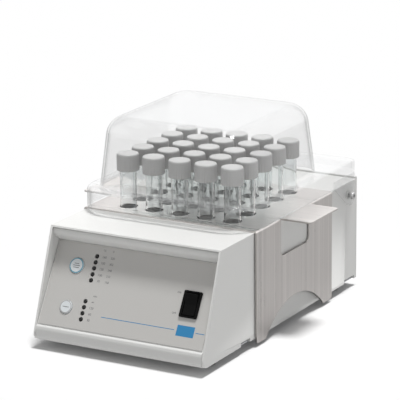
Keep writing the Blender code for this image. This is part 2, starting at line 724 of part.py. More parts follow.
def make_power_switch(frame):
    """Add the switch's frame with its body, and its rocker on its axis."""
    black = finish("switch_black", (0.015, 0.015, 0.015), 0, 0.35)
    bezel_bottom = OVERLAY_TOP + GAP
    bezel_top = bezel_bottom + BEZEL_SHEET
    body_top = bezel_top - BEZEL_LIP
    body = plate("power_switch_frame", rectangle(SWITCH_X, -SWITCH_V, *SWITCH_BODY_HALF),
                 body_top - SWITCH_BODY_DEPTH, "XY", (body_top + SWITCH_BODY_DEPTH) / 2, black)
    rim = rectangle(SWITCH_X, -SWITCH_V, SWITCH_WIDTH / 2, SWITCH_HEIGHT / 2, BEZEL_CORNER)
    bezel = plate("join_bezel", rim, BEZEL_SHEET, "XY", (bezel_top + bezel_bottom) / 2, cutter=True)
    height = 30 * MM
    room = plate("cut_rocker_room", rectangle(SWITCH_X, -SWITCH_V, *SWITCH_ROOM_HALF), height, "XY",
                 SWITCH_ROOM_FLOOR + height / 2, cutter=True)
    boolean(body, bezel, "UNION")
    boolean(body, room)
    hang_on(frame, body, bezel, room)
    tilted = at(SWITCH_X, -SWITCH_V, ROCKER_PIVOT_DEPTH) @ Matrix.Rotation(ROCKER_REST_TILT, 4, "X")
    axis = empty("rocker_axis", tilted, frame)
    crest = bezel_top - ROCKER_PIVOT_DEPTH
    outline = [
        Vector((-ROCKER_KEEL_HALF, -ROCKER_KEEL_DEPTH)),
        Vector((ROCKER_KEEL_HALF, -ROCKER_KEEL_DEPTH)),
        Vector((ROCKER_HALF, -ROCKER_SIDE_DEPTH)),
        Vector((ROCKER_HALF, crest + ROCKER_END_RISE)),
        Vector((0, crest - ROCKER_DISH)),
        Vector((-ROCKER_HALF, crest + ROCKER_END_RISE)),
        Vector((-ROCKER_HALF, -ROCKER_SIDE_DEPTH)),
    ]
    rocker = plate("power_rocker", outline, ROCKER_WIDTH, "YZ", 0, black)
    hang_on(axis, rocker)


def make_block(alloy):
    """Add the heating block with its blind bores, one for each vial, and the sensor's bore."""
    block = box("heating_block", (-BLOCK_HALF, GRID_CENTRE_Y - BLOCK_HALF, BLOCK_BOTTOM),
                (BLOCK_HALF, GRID_CENTRE_Y + BLOCK_HALF, BLOCK_TOP), alloy)
    boolean(block, grid_cutter("cut_bores", BORE_RADIUS, BORE_FLOOR))
    bore = rod(SENSOR_BORE_RADIUS, 0, 2 * SENSOR_DEPTH)
    boolean(block, turned("cut_sensor_bore", bore, COARSE, sensor_place(), cutter=True))


def sensor_place():
    """Return the frame of the sensor's bore floor, with +Z out of the block's front face."""
    front = GRID_CENTRE_Y - BLOCK_HALF
    return at(SENSOR_X, front + SENSOR_DEPTH, SENSOR_Z) @ Matrix.Rotation(math.pi / 2, 4, "X")


def make_heater(steel):
    """Add the foil heater, its clamp plate, the sensor and the thermostat."""
    silicone = finish("heater_silicone", (0.45, 0.12, 0.05), 0, 0.7)
    reach = BLOCK_HALF - HEATER_INSET
    front = GRID_CENTRE_Y - reach
    rear = GRID_CENTRE_Y + reach
    heater_top = BLOCK_BOTTOM - GAP
    heater_bottom = heater_top - HEATER_SHEET
    box("foil_heater", (-reach, front, heater_bottom), (reach, rear, heater_top), silicone)
    clamp_top = heater_bottom - GAP
    clamp_bottom = clamp_top - CLAMP_SHEET
    box("heater_clamp", (-reach, front, clamp_bottom), (reach, rear, clamp_top), steel)
    sheath = finish("sensor_steel", (0.6, 0.6, 0.6), 1, 0.3)
    turned("temperature_sensor", rod(SENSOR_RADIUS, GAP, SENSOR_LENGTH), COARSE, sensor_place(), sheath)
    top = clamp_bottom - GAP
    shoulder = top - THERMOSTAT_STEP
    bottom = shoulder - THERMOSTAT_STEP
    profile = [
        (0, top),
        (THERMOSTAT_RADIUS, top),
        (THERMOSTAT_RADIUS, shoulder),
        (THERMOSTAT_NECK_RADIUS, shoulder),
        (THERMOSTAT_NECK_RADIUS, bottom),
        (0, bottom),
    ]
    case = finish("thermostat", (0.6, 0.58, 0.55), 1, 0.4)
    turned("safety_thermostat", profile, FINE, at(THERMOSTAT_X, 0), case)


def make_insulation():
    """Add the insulation wall round the block, and the slab under it."""
    wool = finish("mineral_wool", (0.72, 0.68, 0.5), 0, 0.95)
    inner = BLOCK_HALF + GAP
    outer = inner + INSULATION_WALL
    top = BAY_PLATE_BOTTOM - GAP
    bottom = TRAY_BOTTOM + TRAY_SHEET + GAP
    wall = plate("insulation_wall", rectangle(0, GRID_CENTRE_Y, outer, outer), top - bottom, "XY",
                 (top + bottom) / 2, wool, [rectangle(0, GRID_CENTRE_Y, inner, inner)])
    left, right = SENSOR_WAY
    cut_box(wall, "cut_sensor_way", (left, GRID_CENTRE_Y - outer - MM, bottom - MM),
            (right, GRID_CENTRE_Y - inner + MM, SENSOR_Z + 6 * MM))
    slab = inner - 2 * GAP
    slab_top = BLOCK_BOTTOM - 5 * MM
    opening = rectangle(0, -4 * MM, 24 * MM, 22 * MM)
    plate("insulation_base", rectangle(0, GRID_CENTRE_Y, slab, slab), slab_top - bottom, "XY",
          (slab_top + bottom) / 2, wool, [opening])


def make_tray(steel):
    """Add the tray that holds the block and its insulation, with ways out for the leads."""
    inner = BLOCK_HALF + INSULATION_WALL + 2 * GAP
    outer = inner + TRAY_SHEET
    top = BAY_PLATE_BOTTOM - GAP
    tray = box("inner_tray", (-outer, GRID_CENTRE_Y - outer, TRAY_BOTTOM),
               (outer, GRID_CENTRE_Y + outer, top), steel)
    cut_box(tray, "cut_tray_room", (-inner, GRID_CENTRE_Y - inner, TRAY_BOTTOM + TRAY_SHEET),
            (inner, GRID_CENTRE_Y + inner, top + MM))
    cut_box(tray, "cut_lead_way", (-20 * MM, -18 * MM, TRAY_BOTTOM - MM),
            (20 * MM, 10 * MM, TRAY_BOTTOM + 3 * MM))
    left, right = SENSOR_WAY
    cut_box(tray, "cut_sensor_port", (left, GRID_CENTRE_Y - outer - MM, SENSOR_Z - 6 * MM),
            (right, GRID_CENTRE_Y - inner + MM, SENSOR_Z + 6 * MM))


def make_bay_plate(steel):
    """Add the plate round the block's top, which the rack rests on."""
    middle_y = (BAY_FRONT_Y + BAY_REAR_Y) / 2
    half_y = (BAY_REAR_Y - BAY_FRONT_Y) / 2 - GAP
    opening = BLOCK_HALF + 0.6 * MM
    plate("bay_plate", rectangle(0, middle_y, INNER_HALF_WIDTH - GAP, half_y), 1.5 * MM, "XY",
          BAY_PLATE_BOTTOM + 0.75 * MM, steel, [rectangle(0, GRID_CENTRE_Y, opening, opening)])


def rack_top_outline():
    """Return the outline of the rack's top, with a grip flap on each side."""
    edge_x = RACK_OUTER_X - GAP / 2
    front_flap = GRID_CENTRE_Y - FLAP_HALF
    rear_flap = GRID_CENTRE_Y + FLAP_HALF
    right = [
        (edge_x, RACK_FRONT_Y, 0),
        (edge_x, front_flap, 0),
        (FLAP_TIP_X, front_flap, FLAP_CORNER),
        (FLAP_TIP_X, rear_flap, FLAP_CORNER),
        (edge_x, rear_flap, 0),
        (edge_x, RACK_REAR_Y, 0),
    ]
    left = [(-x, y, radius) for x, y, radius in reversed(right)]
    return rounded(right + left)


def rack_side_outline():
    """Return the outline of one arched side of the rack."""
    centre_z = ARCH_TOP - ARCH_RADIUS
    reach = math.degrees(math.asin((RACK_LEG_BOTTOM - centre_z) / ARCH_RADIUS))
    arch = arc(GRID_CENTRE_Y, centre_z, ARCH_RADIUS, 180 - reach, reach, 10)
    front = RACK_FRONT_Y + RACK_TRIM
    rear = RACK_REAR_Y - RACK_TRIM
    top = RACK_TOP - 0.2 * MM
    legs = [Vector((front, top)), Vector((front, RACK_LEG_BOTTOM)), *arch]
    return [*legs, Vector((rear, RACK_LEG_BOTTOM)), Vector((rear, top))]


def make_rack(steel):
    """Add the lift-out rack: perforated top with grip flaps, and two arched sides with windows."""
    rack = plate("vial_rack", rack_top_outline(), RACK_SHEET, "XY", RACK_TOP - RACK_SHEET / 2, steel)
    window_top = RACK_TOP - RACK_SHEET - RACK_TRIM
    front = GRID_CENTRE_Y - WINDOW_HALF
    rear = GRID_CENTRE_Y + WINDOW_HALF
    window = rounded([
        (front, window_top, 0),
        (front, WINDOW_BOTTOM, WINDOW_CORNER),
        (rear, WINDOW_BOTTOM, WINDOW_CORNER),
        (rear, window_top, 0),
    ])
    middle_x = RACK_OUTER_X - RACK_SHEET / 2
    for side, name in ((-1, "join_left_side"), (1, "join_right_side")):
        wall = plate(name, rack_side_outline(), RACK_SHEET, "YZ", side * middle_x, holes=[window],
                     cutter=True)
        boolean(rack, wall, "UNION")
    boolean(rack, grid_cutter("cut_rack_holes", RACK_HOLE_RADIUS, BODY_TOP - 5 * MM))


def make_vials():
    """Add the rows of glass vials and of caps, counted from the front."""
    glass = finish("vial_glass", (0.85, 0.88, 0.88), 0, 0.05, 0.35)
    plastic = finish("cap_plastic", (0.62, 0.62, 0.61), 0, 0.5)
    inner = VIAL_RADIUS - VIAL_WALL
    lip = CAP_TOP - CAP_CROWN - GAP
    vial = turned_mesh([(0, VIAL_BOTTOM + VIAL_WALL), (inner, VIAL_BOTTOM + VIAL_WALL), (inner, lip),
                        (VIAL_RADIUS, lip), (VIAL_RADIUS, VIAL_BOTTOM + 2 * MM),
                        (VIAL_RADIUS - 2 * MM, VIAL_BOTTOM), (0, VIAL_BOTTOM)], COARSE)
    socket = VIAL_RADIUS + 0.45 * MM
    cap = turned_mesh([(0, CAP_TOP), (CAP_RADIUS, CAP_TOP), (CAP_RADIUS, CAP_TOP - CAP_HEIGHT),
                       (socket, CAP_TOP - CAP_HEIGHT), (socket, CAP_TOP - CAP_CROWN),
                       (0, CAP_TOP - CAP_CROWN)], MEDIUM)
    vial_web = (VIAL_RADIUS - 0.9 * MM, BLOCK_TOP + 0.4 * MM, BODY_TOP - 0.4 * MM)
    cap_web = (CAP_RADIUS - 1.2 * MM, CAP_TOP - CAP_HEIGHT + MM, CAP_TOP - CAP_HEIGHT + 3 * MM)
    make_rows("vials_row", vial, glass, *vial_web)
    make_rows("caps_row", cap, plastic, *cap_web)


def make_rows(name, mesh, material, reach, low, high):
    """Add the five rows of a piece, each joined by thin webs, counted from the front."""
    row = repeated_mesh(mesh, [at(x, 0) for x in grid_offsets()])
    bm = bmesh.new()
    bmesh.ops.create_cube(bm, size=1)
    bmesh.ops.scale(bm, vec=(GRID_PITCH - 2 * reach, WEB_WIDTH, high - low), verts=bm.verts)
    web = bpy.data.meshes.new("web")
    bm.to_mesh(web)
    bm.free()
    gaps = [at(x + GRID_PITCH / 2, 0, (low + high) / 2) for x in grid_offsets()[:-1]]
    webs = repeated_mesh(web, gaps)
    for index, y in enumerate(grid_offsets(), start=1):
        pieces = add_object(f"{name}_{index}", row, material)
        joiner = add_object(f"join_{name}_{index}", webs, cutter=True)
        pieces.location.y = GRID_CENTRE_Y + y
        joiner.location.y = GRID_CENTRE_Y + y
        boolean(pieces, joiner, "UNION")


def cover_loop(half_x, front, rear, front_radius, rear_radius):
    """Return the plan outline of the cover at one level, anticlockwise from the front right."""
    corners = ((half_x - front_radius, front + front_radius, front_radius, -90),
               (half_x - rear_radius, rear - rear_radius, rear_radius, 0),
               (-half_x + rear_radius, rear - rear_radius, rear_radius, 90),
               (-half_x + front_radius, front + front_radius, front_radius, 180))
    loop = []
    for x, y, radius, start in corners:
        loop += arc(x, y, radius, start, start + 90, COVER_CORNER_STEPS)
    return loop


def skirt_bottom(y):
    """Return the height of the skirt's lower edge: on the casing in front, over the rack at the sides."""
    if y > COVER_REAR_Y - 4 * MM:
        return SKIRT_REAR_Z
    rise = min(max((y + 70 * MM) / (9 * MM), 0), 1)
    return SKIRT_FRONT_Z + (SKIRT_SIDE_Z - SKIRT_FRONT_Z) * rise


def dome_loop(inset, z):
    """Return one level of the dome, drawn in from its foot."""
    radius = max(DOME_CORNER - inset / 2, 6 * MM)
    plan = cover_loop(DOME_HALF_WIDTH - inset, DOME_FRONT_Y + inset, DOME_REAR_Y - inset, radius, radius)
    return [Vector((x, y, z)) for x, y in plan]


def cover_levels():
    """Return the cover's outlines from the skirt's lower edge to the dome's top."""
    skirt = cover_loop(COVER_HALF_WIDTH, COVER_FRONT_Y, COVER_REAR_Y, COVER_FRONT_RADIUS, COVER_REAR_RADIUS)
    edge = 2 * MM
    flange = cover_loop(COVER_HALF_WIDTH - edge, COVER_FRONT_Y + edge, COVER_REAR_Y - edge,
                        COVER_FRONT_RADIUS - edge, COVER_REAR_RADIUS - edge)
    levels = [[Vector((x, y, skirt_bottom(y))) for x, y in skirt],
              [Vector((x, y, FLANGE_Z - edge)) for x, y in skirt],
              [Vector((x, y, FLANGE_Z)) for x, y in flange],
              dome_loop(0, FLANGE_Z)]
    fillet_z = DOME_TOP - DOME_FILLET
    for angle in (0, 30, 60, 90):
        turn = math.radians(angle)
        levels.append(dome_loop(DOME_DRAFT + DOME_FILLET * (1 - math.cos(turn)),
                                fillet_z + DOME_FILLET * math.sin(turn)))
    return levels


def cover_mesh(pivot):
    """Return the cover's outer face, from the skirt to the dome's top, about the hinge."""
    bm = bmesh.new()
    rings = [[bm.verts.new(point - pivot) for point in level] for level in cover_levels()]
    for lower, upper in zip(rings, rings[1:]):
        for index in range(len(lower)):
            following = (index + 1) % len(lower)
            bm.faces.new((lower[index], lower[following], upper[following], upper[index]))
    bm.faces.new(rings[-1])
    mesh = bpy.data.meshes.new("clear_cover")
    bm.to_mesh(mesh)
    bm.free()
    return mesh


def ear_outline():
    """Return the outline of an ear, tangent to the round about its hinge hole."""
    foot = Vector((EAR_FRONT_Y, SKIRT_SIDE_Z))
    centre = Vector((PIVOT_Y, PIVOT_Z))
    reach = (centre - foot).length
    fall = math.atan2(foot.y - centre.y, centre.x - foot.x) + math.asin(EAR_RADIUS / reach)
    tangent = -90 - math.degrees(fall)
    top = [Vector((PIVOT_Y + EAR_RADIUS, EAR_TOP_Z)), Vector((EAR_FRONT_Y, EAR_TOP_Z))]
    return [foot, *arc(*centre, EAR_RADIUS, tangent, 0, 6), *top]


def make_cover():
    """Add the clear cover with its ears, its origin on its hinge axis."""
    clear = finish("cover_clear", (0.92, 0.93, 0.94), 0, 0.05, 0.25)
    pivot = Vector((0, PIVOT_Y, PIVOT_Z))
    cover = add_object("clear_cover", cover_mesh(pivot), clear)
    cover.location = pivot
    thicken(cover, COVER_SHEET)
    hole = circle(PIVOT_Y, PIVOT_Z, EAR_HOLE_RADIUS, MEDIUM)
    for side, name in ((-1, "join_left_ear"), (1, "join_right_ear")):
        ear = plate(name, ear_outline(), EAR_SHEET, "YZ", side * EAR_MIDDLE_X, holes=[hole], cutter=True)
        boolean(cover, ear, "UNION")


def make_hinges(screw_steel):
    """Add the two pivot screws and their spacers."""
    places = {side: at(0, PIVOT_Y, PIVOT_Z) @ outward(turn) for side, turn in (("left", -1), ("right", 1))}
    head_bottom = EAR_MIDDLE_X + EAR_SHEET / 2 + 1.2 * MM
    head_top = head_bottom + HINGE_HEAD_HEIGHT
    screw = [
        (0, head_top),
        (HINGE_HEAD_RADIUS - 0.5 * MM, head_top),
        (HINGE_HEAD_RADIUS, head_top - MM),
        (HINGE_HEAD_RADIUS, head_bottom),
        (HINGE_SHANK_RADIUS, head_bottom),
        (HINGE_SHANK_RADIUS, HINGE_SHANK_END),
        (0, HINGE_SHANK_END),
    ]
    turned_each({f"hinge_screw_{side}": place for side, place in places.items()}, screw, MEDIUM, screw_steel)
    spacer = ring(SPACER_INNER_RADIUS, SPACER_OUTER_RADIUS, HALF_WIDTH + GAP, SPACER_END)
    nylon = finish("nylon", (0.8, 0.8, 0.78), 0, 0.5)
    turned_each({f"hinge_spacer_{side}": place for side, place in places.items()}, spacer, MEDIUM, nylon)


def inlet_box(name, half_width, middle_z, half_height, front, rear, material=None, cutter=False):
    """Add a box in the mains inlet, centred across it."""
    return box(name, (INLET_X - half_width, front, middle_z - half_height),
               (INLET_X + half_width, rear, middle_z + half_height), material, cutter)


def make_inlet():
    """Add the mains inlet, its pins and its fuse drawer."""
    black = finish("inlet_black", (0.02, 0.02, 0.02), 0, 0.4)
    brass = finish("pin_brass", (0.75, 0.62, 0.35), 1, 0.3)
    face = HALF_DEPTH
    body = inlet_box("mains_inlet", INLET_HALF_WIDTH, INLET_Z, INLET_HALF_HEIGHT,
                     INLET_BODY_FRONT, face - GAP, black)
    flange = inlet_box("join_inlet_flange", INLET_FLANGE_WIDTH, INLET_Z, INLET_FLANGE_HEIGHT,
                       BACK_Y + GAP, face, cutter=True)
    socket = inlet_box("cut_socket", SOCKET_HALF_WIDTH, SOCKET_Z, SOCKET_HALF_HEIGHT,
                       SOCKET_FLOOR_Y, face + MM, cutter=True)
    slot = inlet_box("cut_drawer_slot", DRAWER_HALF_WIDTH + GAP, DRAWER_Z, DRAWER_HALF_HEIGHT + GAP,
                     DRAWER_SLOT_Y, face + MM, cutter=True)
    boolean(body, flange, "UNION")
    boolean(body, socket)
    boolean(body, slot)
    inlet_box("fuse_drawer", DRAWER_HALF_WIDTH, DRAWER_Z, DRAWER_HALF_HEIGHT,
              DRAWER_SLOT_Y + GAP, face, black)
    carrier = SOCKET_FLOOR_Y + GAP
    contacts = inlet_box("inlet_contacts", SOCKET_HALF_WIDTH - MM, SOCKET_Z, SOCKET_HALF_HEIGHT - 2 * MM,
                         carrier, carrier + 2 * MM, brass)
    for index, (x, z) in enumerate(PIN_PLACES):
        pin = box(f"join_pin_{index}", (INLET_X + x - MM, carrier + MM, SOCKET_Z + z - 2 * MM),
                  (INLET_X + x + MM, carrier + PIN_LENGTH, SOCKET_Z + z + 2 * MM), cutter=True)
        boolean(contacts, pin, "UNION")


def make_electronics():
    """Add the power board with its transformer, and the relay."""
    green = finish("power_board_green", (0.03, 0.16, 0.07))
    dark = finish("component_dark", (0.04, 0.04, 0.05))
    yellow = finish("transformer_yellow", (0.7, 0.55, 0.12))
    rear = POWER_BOARD_REAR_Y
    box("power_board", (-80 * MM, rear - BOARD_SHEET, 22 * MM), (22 * MM, rear, 98 * MM), green)
    box("transformer", (-72 * MM, rear + GAP, 52 * MM), (-28 * MM, rear + 32 * MM, 92 * MM), yellow)
    box("solid_state_relay", (-66 * MM, 116 * MM, BASE_TOP + GAP), (-20 * MM, 148 * MM, 32 * MM), dark)


def make_leads():
    """Add the cable to the panel, the leads to the heater and the mains leads."""
    red = finish("lead_red", (0.5, 0.03, 0.03))
    grey = finish("lead_grey", (0.3, 0.3, 0.32))
    brown = finish("lead_brown", (0.2, 0.08, 0.03))
    board_front = POWER_BOARD_REAR_Y - BOARD_SHEET - 2 * GAP
    panel_route = [
        (-30 * MM, -126 * MM, 30 * MM),
        (-30 * MM, -118 * MM, LEAD_Z),
        (-30 * MM, 0, LEAD_Z),
        (-30 * MM, 102 * MM, LEAD_Z),
        (-30 * MM, 104.5 * MM, 26 * MM),
        (-30 * MM, board_front, 26 * MM),
    ]
    heater_route = [
        (-10 * MM, -6 * MM, 42 * MM),
        (-12 * MM, -6 * MM, 22 * MM),
        (-14 * MM, 20 * MM, LEAD_Z),
        (-14 * MM, 106 * MM, LEAD_Z),
        (-17 * MM, 112 * MM, LEAD_Z),
        (-17 * MM, 130 * MM, 18 * MM),
    ]
    mains_route = [
        (66 * MM, -100 * MM, 34 * MM),
        (72 * MM, -92 * MM, LEAD_Z),
        (72 * MM, -40 * MM, LEAD_Z),
        (72 * MM, 104 * MM, LEAD_Z),
        (54 * MM, 112 * MM, 40 * MM),
        (INLET_X, 120 * MM, INLET_Z),
        (INLET_X, 130 * MM, INLET_Z),
    ]
    wire("panel_cable", panel_route, LEAD_RADIUS, grey)
    wire("heater_leads", heater_route, LEAD_RADIUS, red)
    wire("mains_leads", mains_route, LEAD_RADIUS, brown)


def main():
    """Build the block heater."""
    clear_scene()
    paint = finish("painted_sheet", (0.80, 0.80, 0.79), 0, 0.45)
    brushed = finish("brushed_sheet", (0.56, 0.53, 0.51), 1, 0.35)
    zinc = finish("zinc_sheet", (0.55, 0.56, 0.58), 1, 0.4)
    screw_steel = finish("screw_steel", (0.5, 0.5, 0.5), 1, 0.3)
    alloy = finish("block_alloy", (0.75, 0.75, 0.77), 1, 0.35)
    rubber = finish("foot_rubber", (0.03, 0.03, 0.03), 0, 0.9)
    make_casing(paint)
    make_back(paint, screw_steel)
    make_base(zinc, rubber)
    frame = panel_frame()
    make_fascia(paint, frame, make_panel_cutter(frame))
    make_buttons(frame)
    make_control_board(frame)
    make_power_switch(frame)
    make_block(alloy)
    make_heater(zinc)
    make_insulation()
    make_tray(zinc)
    make_bay_plate(brushed)
    make_rack(brushed)
    make_vials()
    make_cover()
    make_hinges(screw_steel)
    make_inlet()
    make_electronics()
    make_leads()


main()
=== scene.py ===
"""Looks of a dry block heater with a lift-out vial rack and a hinged clear cover.

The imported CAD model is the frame. Each piece takes its place from the frame's boxes and from the
driving sizes that stand as fields of its class. Metres, +Z up, the control panel faces -Y.
"""

from __future__ import annotations

import logging
import math
from dataclasses import dataclass, field
from enum import Enum
from typing import Any, Callable, Iterable, Sequence

import bmesh
import bpy
from bmesh.types import BMEdge, BMesh, BMVert
from mathutils import Matrix, Vector


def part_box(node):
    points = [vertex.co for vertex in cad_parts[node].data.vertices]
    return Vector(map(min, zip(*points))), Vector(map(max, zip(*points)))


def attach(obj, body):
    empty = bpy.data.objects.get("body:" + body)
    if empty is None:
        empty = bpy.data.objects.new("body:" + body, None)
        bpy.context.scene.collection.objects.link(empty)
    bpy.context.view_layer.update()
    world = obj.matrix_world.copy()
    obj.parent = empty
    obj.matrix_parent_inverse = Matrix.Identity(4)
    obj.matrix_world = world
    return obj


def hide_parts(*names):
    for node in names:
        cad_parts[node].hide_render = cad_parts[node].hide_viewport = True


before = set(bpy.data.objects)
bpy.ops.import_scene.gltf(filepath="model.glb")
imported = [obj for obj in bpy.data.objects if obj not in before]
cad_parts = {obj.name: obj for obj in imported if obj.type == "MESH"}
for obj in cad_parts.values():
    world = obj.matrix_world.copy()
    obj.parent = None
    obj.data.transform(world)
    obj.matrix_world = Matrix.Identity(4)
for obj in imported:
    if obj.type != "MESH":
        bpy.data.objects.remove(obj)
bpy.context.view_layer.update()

LOG = logging.getLogger("block_heater")
MM = 0.001
WELD = 0.002 * MM
FLAT = math.radians(0.4)
SHARP = math.radians(33)
QUARTER = math.pi / 2

Colour = tuple[float, float, float]
Corner = tuple[float, float, float]
Modifier = tuple[str, dict[str, Any]]


class Body(str, Enum):
    """The moving bodies of the part."""

    CASING = "casing"
    COVER = "cover"
    ROCKER = "rocker"
    UPPER_BUTTON = "upper_button"
    LOWER_BUTTON = "lower_button"


# ---------------------------------------------------------------------------------------------
# Shader building


class Value:
    """A shader value whose operators add Math nodes."""

    def __init__(self, shader: "Shader", socket: bpy.types.NodeSocket) -> None:
        """Keep the shader and the output socket."""
        self.shader = shader
        self.socket = socket

    def maths(self, operation: str, *others: Any) -> "Value":
        """Return a Math node's result on this value and up to two others."""
        inputs = dict(enumerate((self, *others)))
        return self.shader.node("ShaderNodeMath", {"operation": operation}, inputs)

    def __add__(self, other: Any) -> "Value":
        """Return the sum."""
        return self.maths("ADD", other)

    __radd__ = __add__

    def __sub__(self, other: Any) -> "Value":
        """Return the difference."""
        return self.maths("SUBTRACT", other)

    def __rsub__(self, other: Any) -> "Value":
        """Return the reflected difference."""
        return (self * -1) + other

    def __mul__(self, other: Any) -> "Value":
        """Return the product."""
        return self.maths("MULTIPLY", other)

    __rmul__ = __mul__

    def __truediv__(self, other: Any) -> "Value":
        """Return the quotient."""
        return self.maths("DIVIDE", other)

    def __pow__(self, other: Any) -> "Value":
        """Return the power."""
        return self.maths("POWER", other)

    def size(self) -> "Value":
        """Return the value without its sign."""
        return self.maths("ABSOLUTE")

    def clamped(self) -> "Value":
        """Return the value held between 0 and 1."""
        return self.maths("MAXIMUM", 0.0).maths("MINIMUM", 1.0)


class Shader:
    """The nodes of a material or of the world, added through one method."""

    def __init__(self, owner: bpy.types.Material | bpy.types.World, surface: str = "Principled BSDF") -> None:
        """Turn on the owner's nodes.

        Args:
            owner: the material or the world.
            surface: the name of the node that gives its surface or its light.
        """
        owner.use_nodes = True
        self.tree = owner.node_tree
        self.surface = self.tree.nodes[surface]

    def link(self, socket: bpy.types.NodeSocket, value: Any) -> None:
        """Set a socket to a number or a colour, or link a value to it.

        Args:
            socket: the input.
            value: a number, a colour or a Value.
        """
        if isinstance(value, Value):
            self.tree.links.new(value.socket, socket)
        elif isinstance(value, tuple) and socket.type == "RGBA":
            socket.default_value = (*value, 1.0)
        else:
            socket.default_value = value

    def node(self, kind: str, settings: dict[str, Any], inputs: dict[Any, Any], output: Any = 0) -> Value:
        """Add a node.

        Args:
            kind: the node's type.
            settings: its attributes, set first.
            inputs: values or links by socket name or number.
            output: the name or the number of the socket that is wanted.

        Returns:
            The wanted output.
        """
        made = self.tree.nodes.new(kind)
        for key, value in settings.items():
            setattr(made, key, value)
        for key, value in inputs.items():
            self.link(made.inputs[key], value)
        return Value(self, made.outputs[output])

    def set(self, **inputs: Any) -> None:
        """Set the surface node's sockets, named with underscores for spaces."""
        for key, value in inputs.items():
            self.link(self.surface.inputs[key.replace("_", " ")], value)

    def place(self, stretch: Colour = (1.0, 1.0, 1.0)) -> Value:
        """Return the point on the piece, stretched along each axis."""
        point = self.node("ShaderNodeTexCoord", {}, {}, "Object")
        return self.node("ShaderNodeMapping", {}, {"Vector": point, "Scale": stretch})

    def noise(self, point: Value, scale: float, detail: float = 2.0) -> Value:
        """Return noise between 0 and 1 at a scale per metre."""
        return self.node("ShaderNodeTexNoise", {}, {"Vector": point, "Scale": scale, "Detail": detail})

    def mix(self, factor: Any, first: Any, second: Any) -> Value:
        """Return a colour between two colours."""
        return self.node("ShaderNodeMix", {"data_type": "RGBA"}, {0: factor, 6: first, 7: second}, 2)

    def cover_with(self, layer: Value, share: Value) -> None:
        """Mix another shader over the surface's own.

        Args:
            layer: the shader on top.
            share: how much of it shows, from 0 to 1.
        """
        output = next(node for node in self.tree.nodes if node.type == "OUTPUT_MATERIAL")
        under = Value(self, self.surface.outputs[0])
        whole = self.node("ShaderNodeMixShader", {}, {0: share, 1: under, 2: layer})
        self.link(output.inputs["Surface"], whole)

    def bump(self, height: Value, depth: float) -> Value:
        """Return a normal for a relief of a depth in metres."""
        return self.node("ShaderNodeBump", {}, {"Height": height, "Distance": depth, "Strength": 1.0})


def shade(colour: Colour, factor: float) -> Colour:
    """Return a colour made lighter or darker, at most white."""
    return tuple(min(channel * factor, 1.0) for channel in colour)


@dataclass(frozen=True)
class Finish:
    """A surface finish that is made into one material and then shared."""

    name: str
    slot: str
    colour: Colour
    roughness: float = 0.5
    metallic: float = 0.0
    mottle: float = 0.03
    mottle_scale: float = 35.0

    def material(self) -> bpy.types.Material:
        """Return the finish's material.

        Returns:
            The material, made at the first call and shared from then on.
        """
        name = f"{self.name}_finish"
        found = bpy.data.materials.get(name)
        if found is None:
            found = bpy.data.materials.new(name)
            shader = Shader(found)
            shader.set(Metallic=self.metallic)
            self.paint(shader)
        return found

    def mottled(self, shader: Shader, point: Value) -> Value:
        """Return the colour with broad, faint patches."""
        patches = shader.noise(point, self.mottle_scale, 3.0)
        return shader.mix(patches, shade(self.colour, 1 - self.mottle), shade(self.colour, 1 + self.mottle))

    def paint(self, shader: Shader) -> None:
        """Add the finish's nodes.

        Args:
            shader: the material's nodes.
        """
        raise NotImplementedError


@dataclass(frozen=True)
class Grained(Finish):
    """Paint, moulded plastic, rubber or wool: an even fine grain."""

    grain_scale: float = 1500.0
    grain_depth: float = 0.03 * MM
    grain_shade: float = 0.86
    grain_share: float = 0.22
    gloss_swing: float = 0.12
    coat: float = 0.0
    specular: float = 0.5

    def paint(self, shader: Shader) -> None:
        """Add the grain to the colour, the roughness and the relief.

        Args:
            shader: the material's nodes.
        """
        point = shader.place()
        grain = shader.noise(point, self.grain_scale)
        broad = self.mottled(shader, point)
        speckle = ((grain - 0.5) * 2.4 + 0.5).clamped()
        shader.set(
            Base_Color=shader.mix(speckle * self.grain_share, broad, shade(self.colour, self.grain_shade)),
            Roughness=self.roughness + self.gloss_swing * (grain - 0.5),
            Normal=shader.bump(grain, self.grain_depth),
            Coat_Weight=self.coat,
            Specular_IOR_Level=self.specular,
        )


@dataclass(frozen=True)
class Brushed(Finish):
    """Metal brushed or rolled in one direction."""

    stretch: Colour = (2.5, 560.0, 2.5)
    band_width: float = 4.0
    streak_share: float = 0.4
    streak_depth: float = 0.012 * MM
    contrast: float = 0.14
    streak_swing: float = 0.16
    smudge_swing: float = 0.12

    def paint(self, shader: Shader) -> None:
        """Add long streaks to the colour, the roughness and the relief.

        Args:
            shader: the material's nodes.
        """
        streaks = shader.noise(shader.place(self.stretch), 1.0, 4.0)
        bands = shader.noise(shader.place(tuple(axis / self.band_width for axis in self.stretch)), 1.0, 2.0)
        both = streaks * self.streak_share + bands * (1 - self.streak_share)
        mark = ((both - 0.5) * 2.6 + 0.5).clamped()
        low = shade(self.colour, 1 - self.contrast)
        high = shade(self.colour, 1 + self.contrast)
        smudge = shader.noise(shader.place(), self.mottle_scale, 3.0)
        shader.set(
            Base_Color=shader.mix(mark, low, high),
            Roughness=self.roughness + self.streak_swing * (mark - 0.5) + self.smudge_swing * (smudge - 0.5),
            Normal=shader.bump(streaks, self.streak_depth),
        )


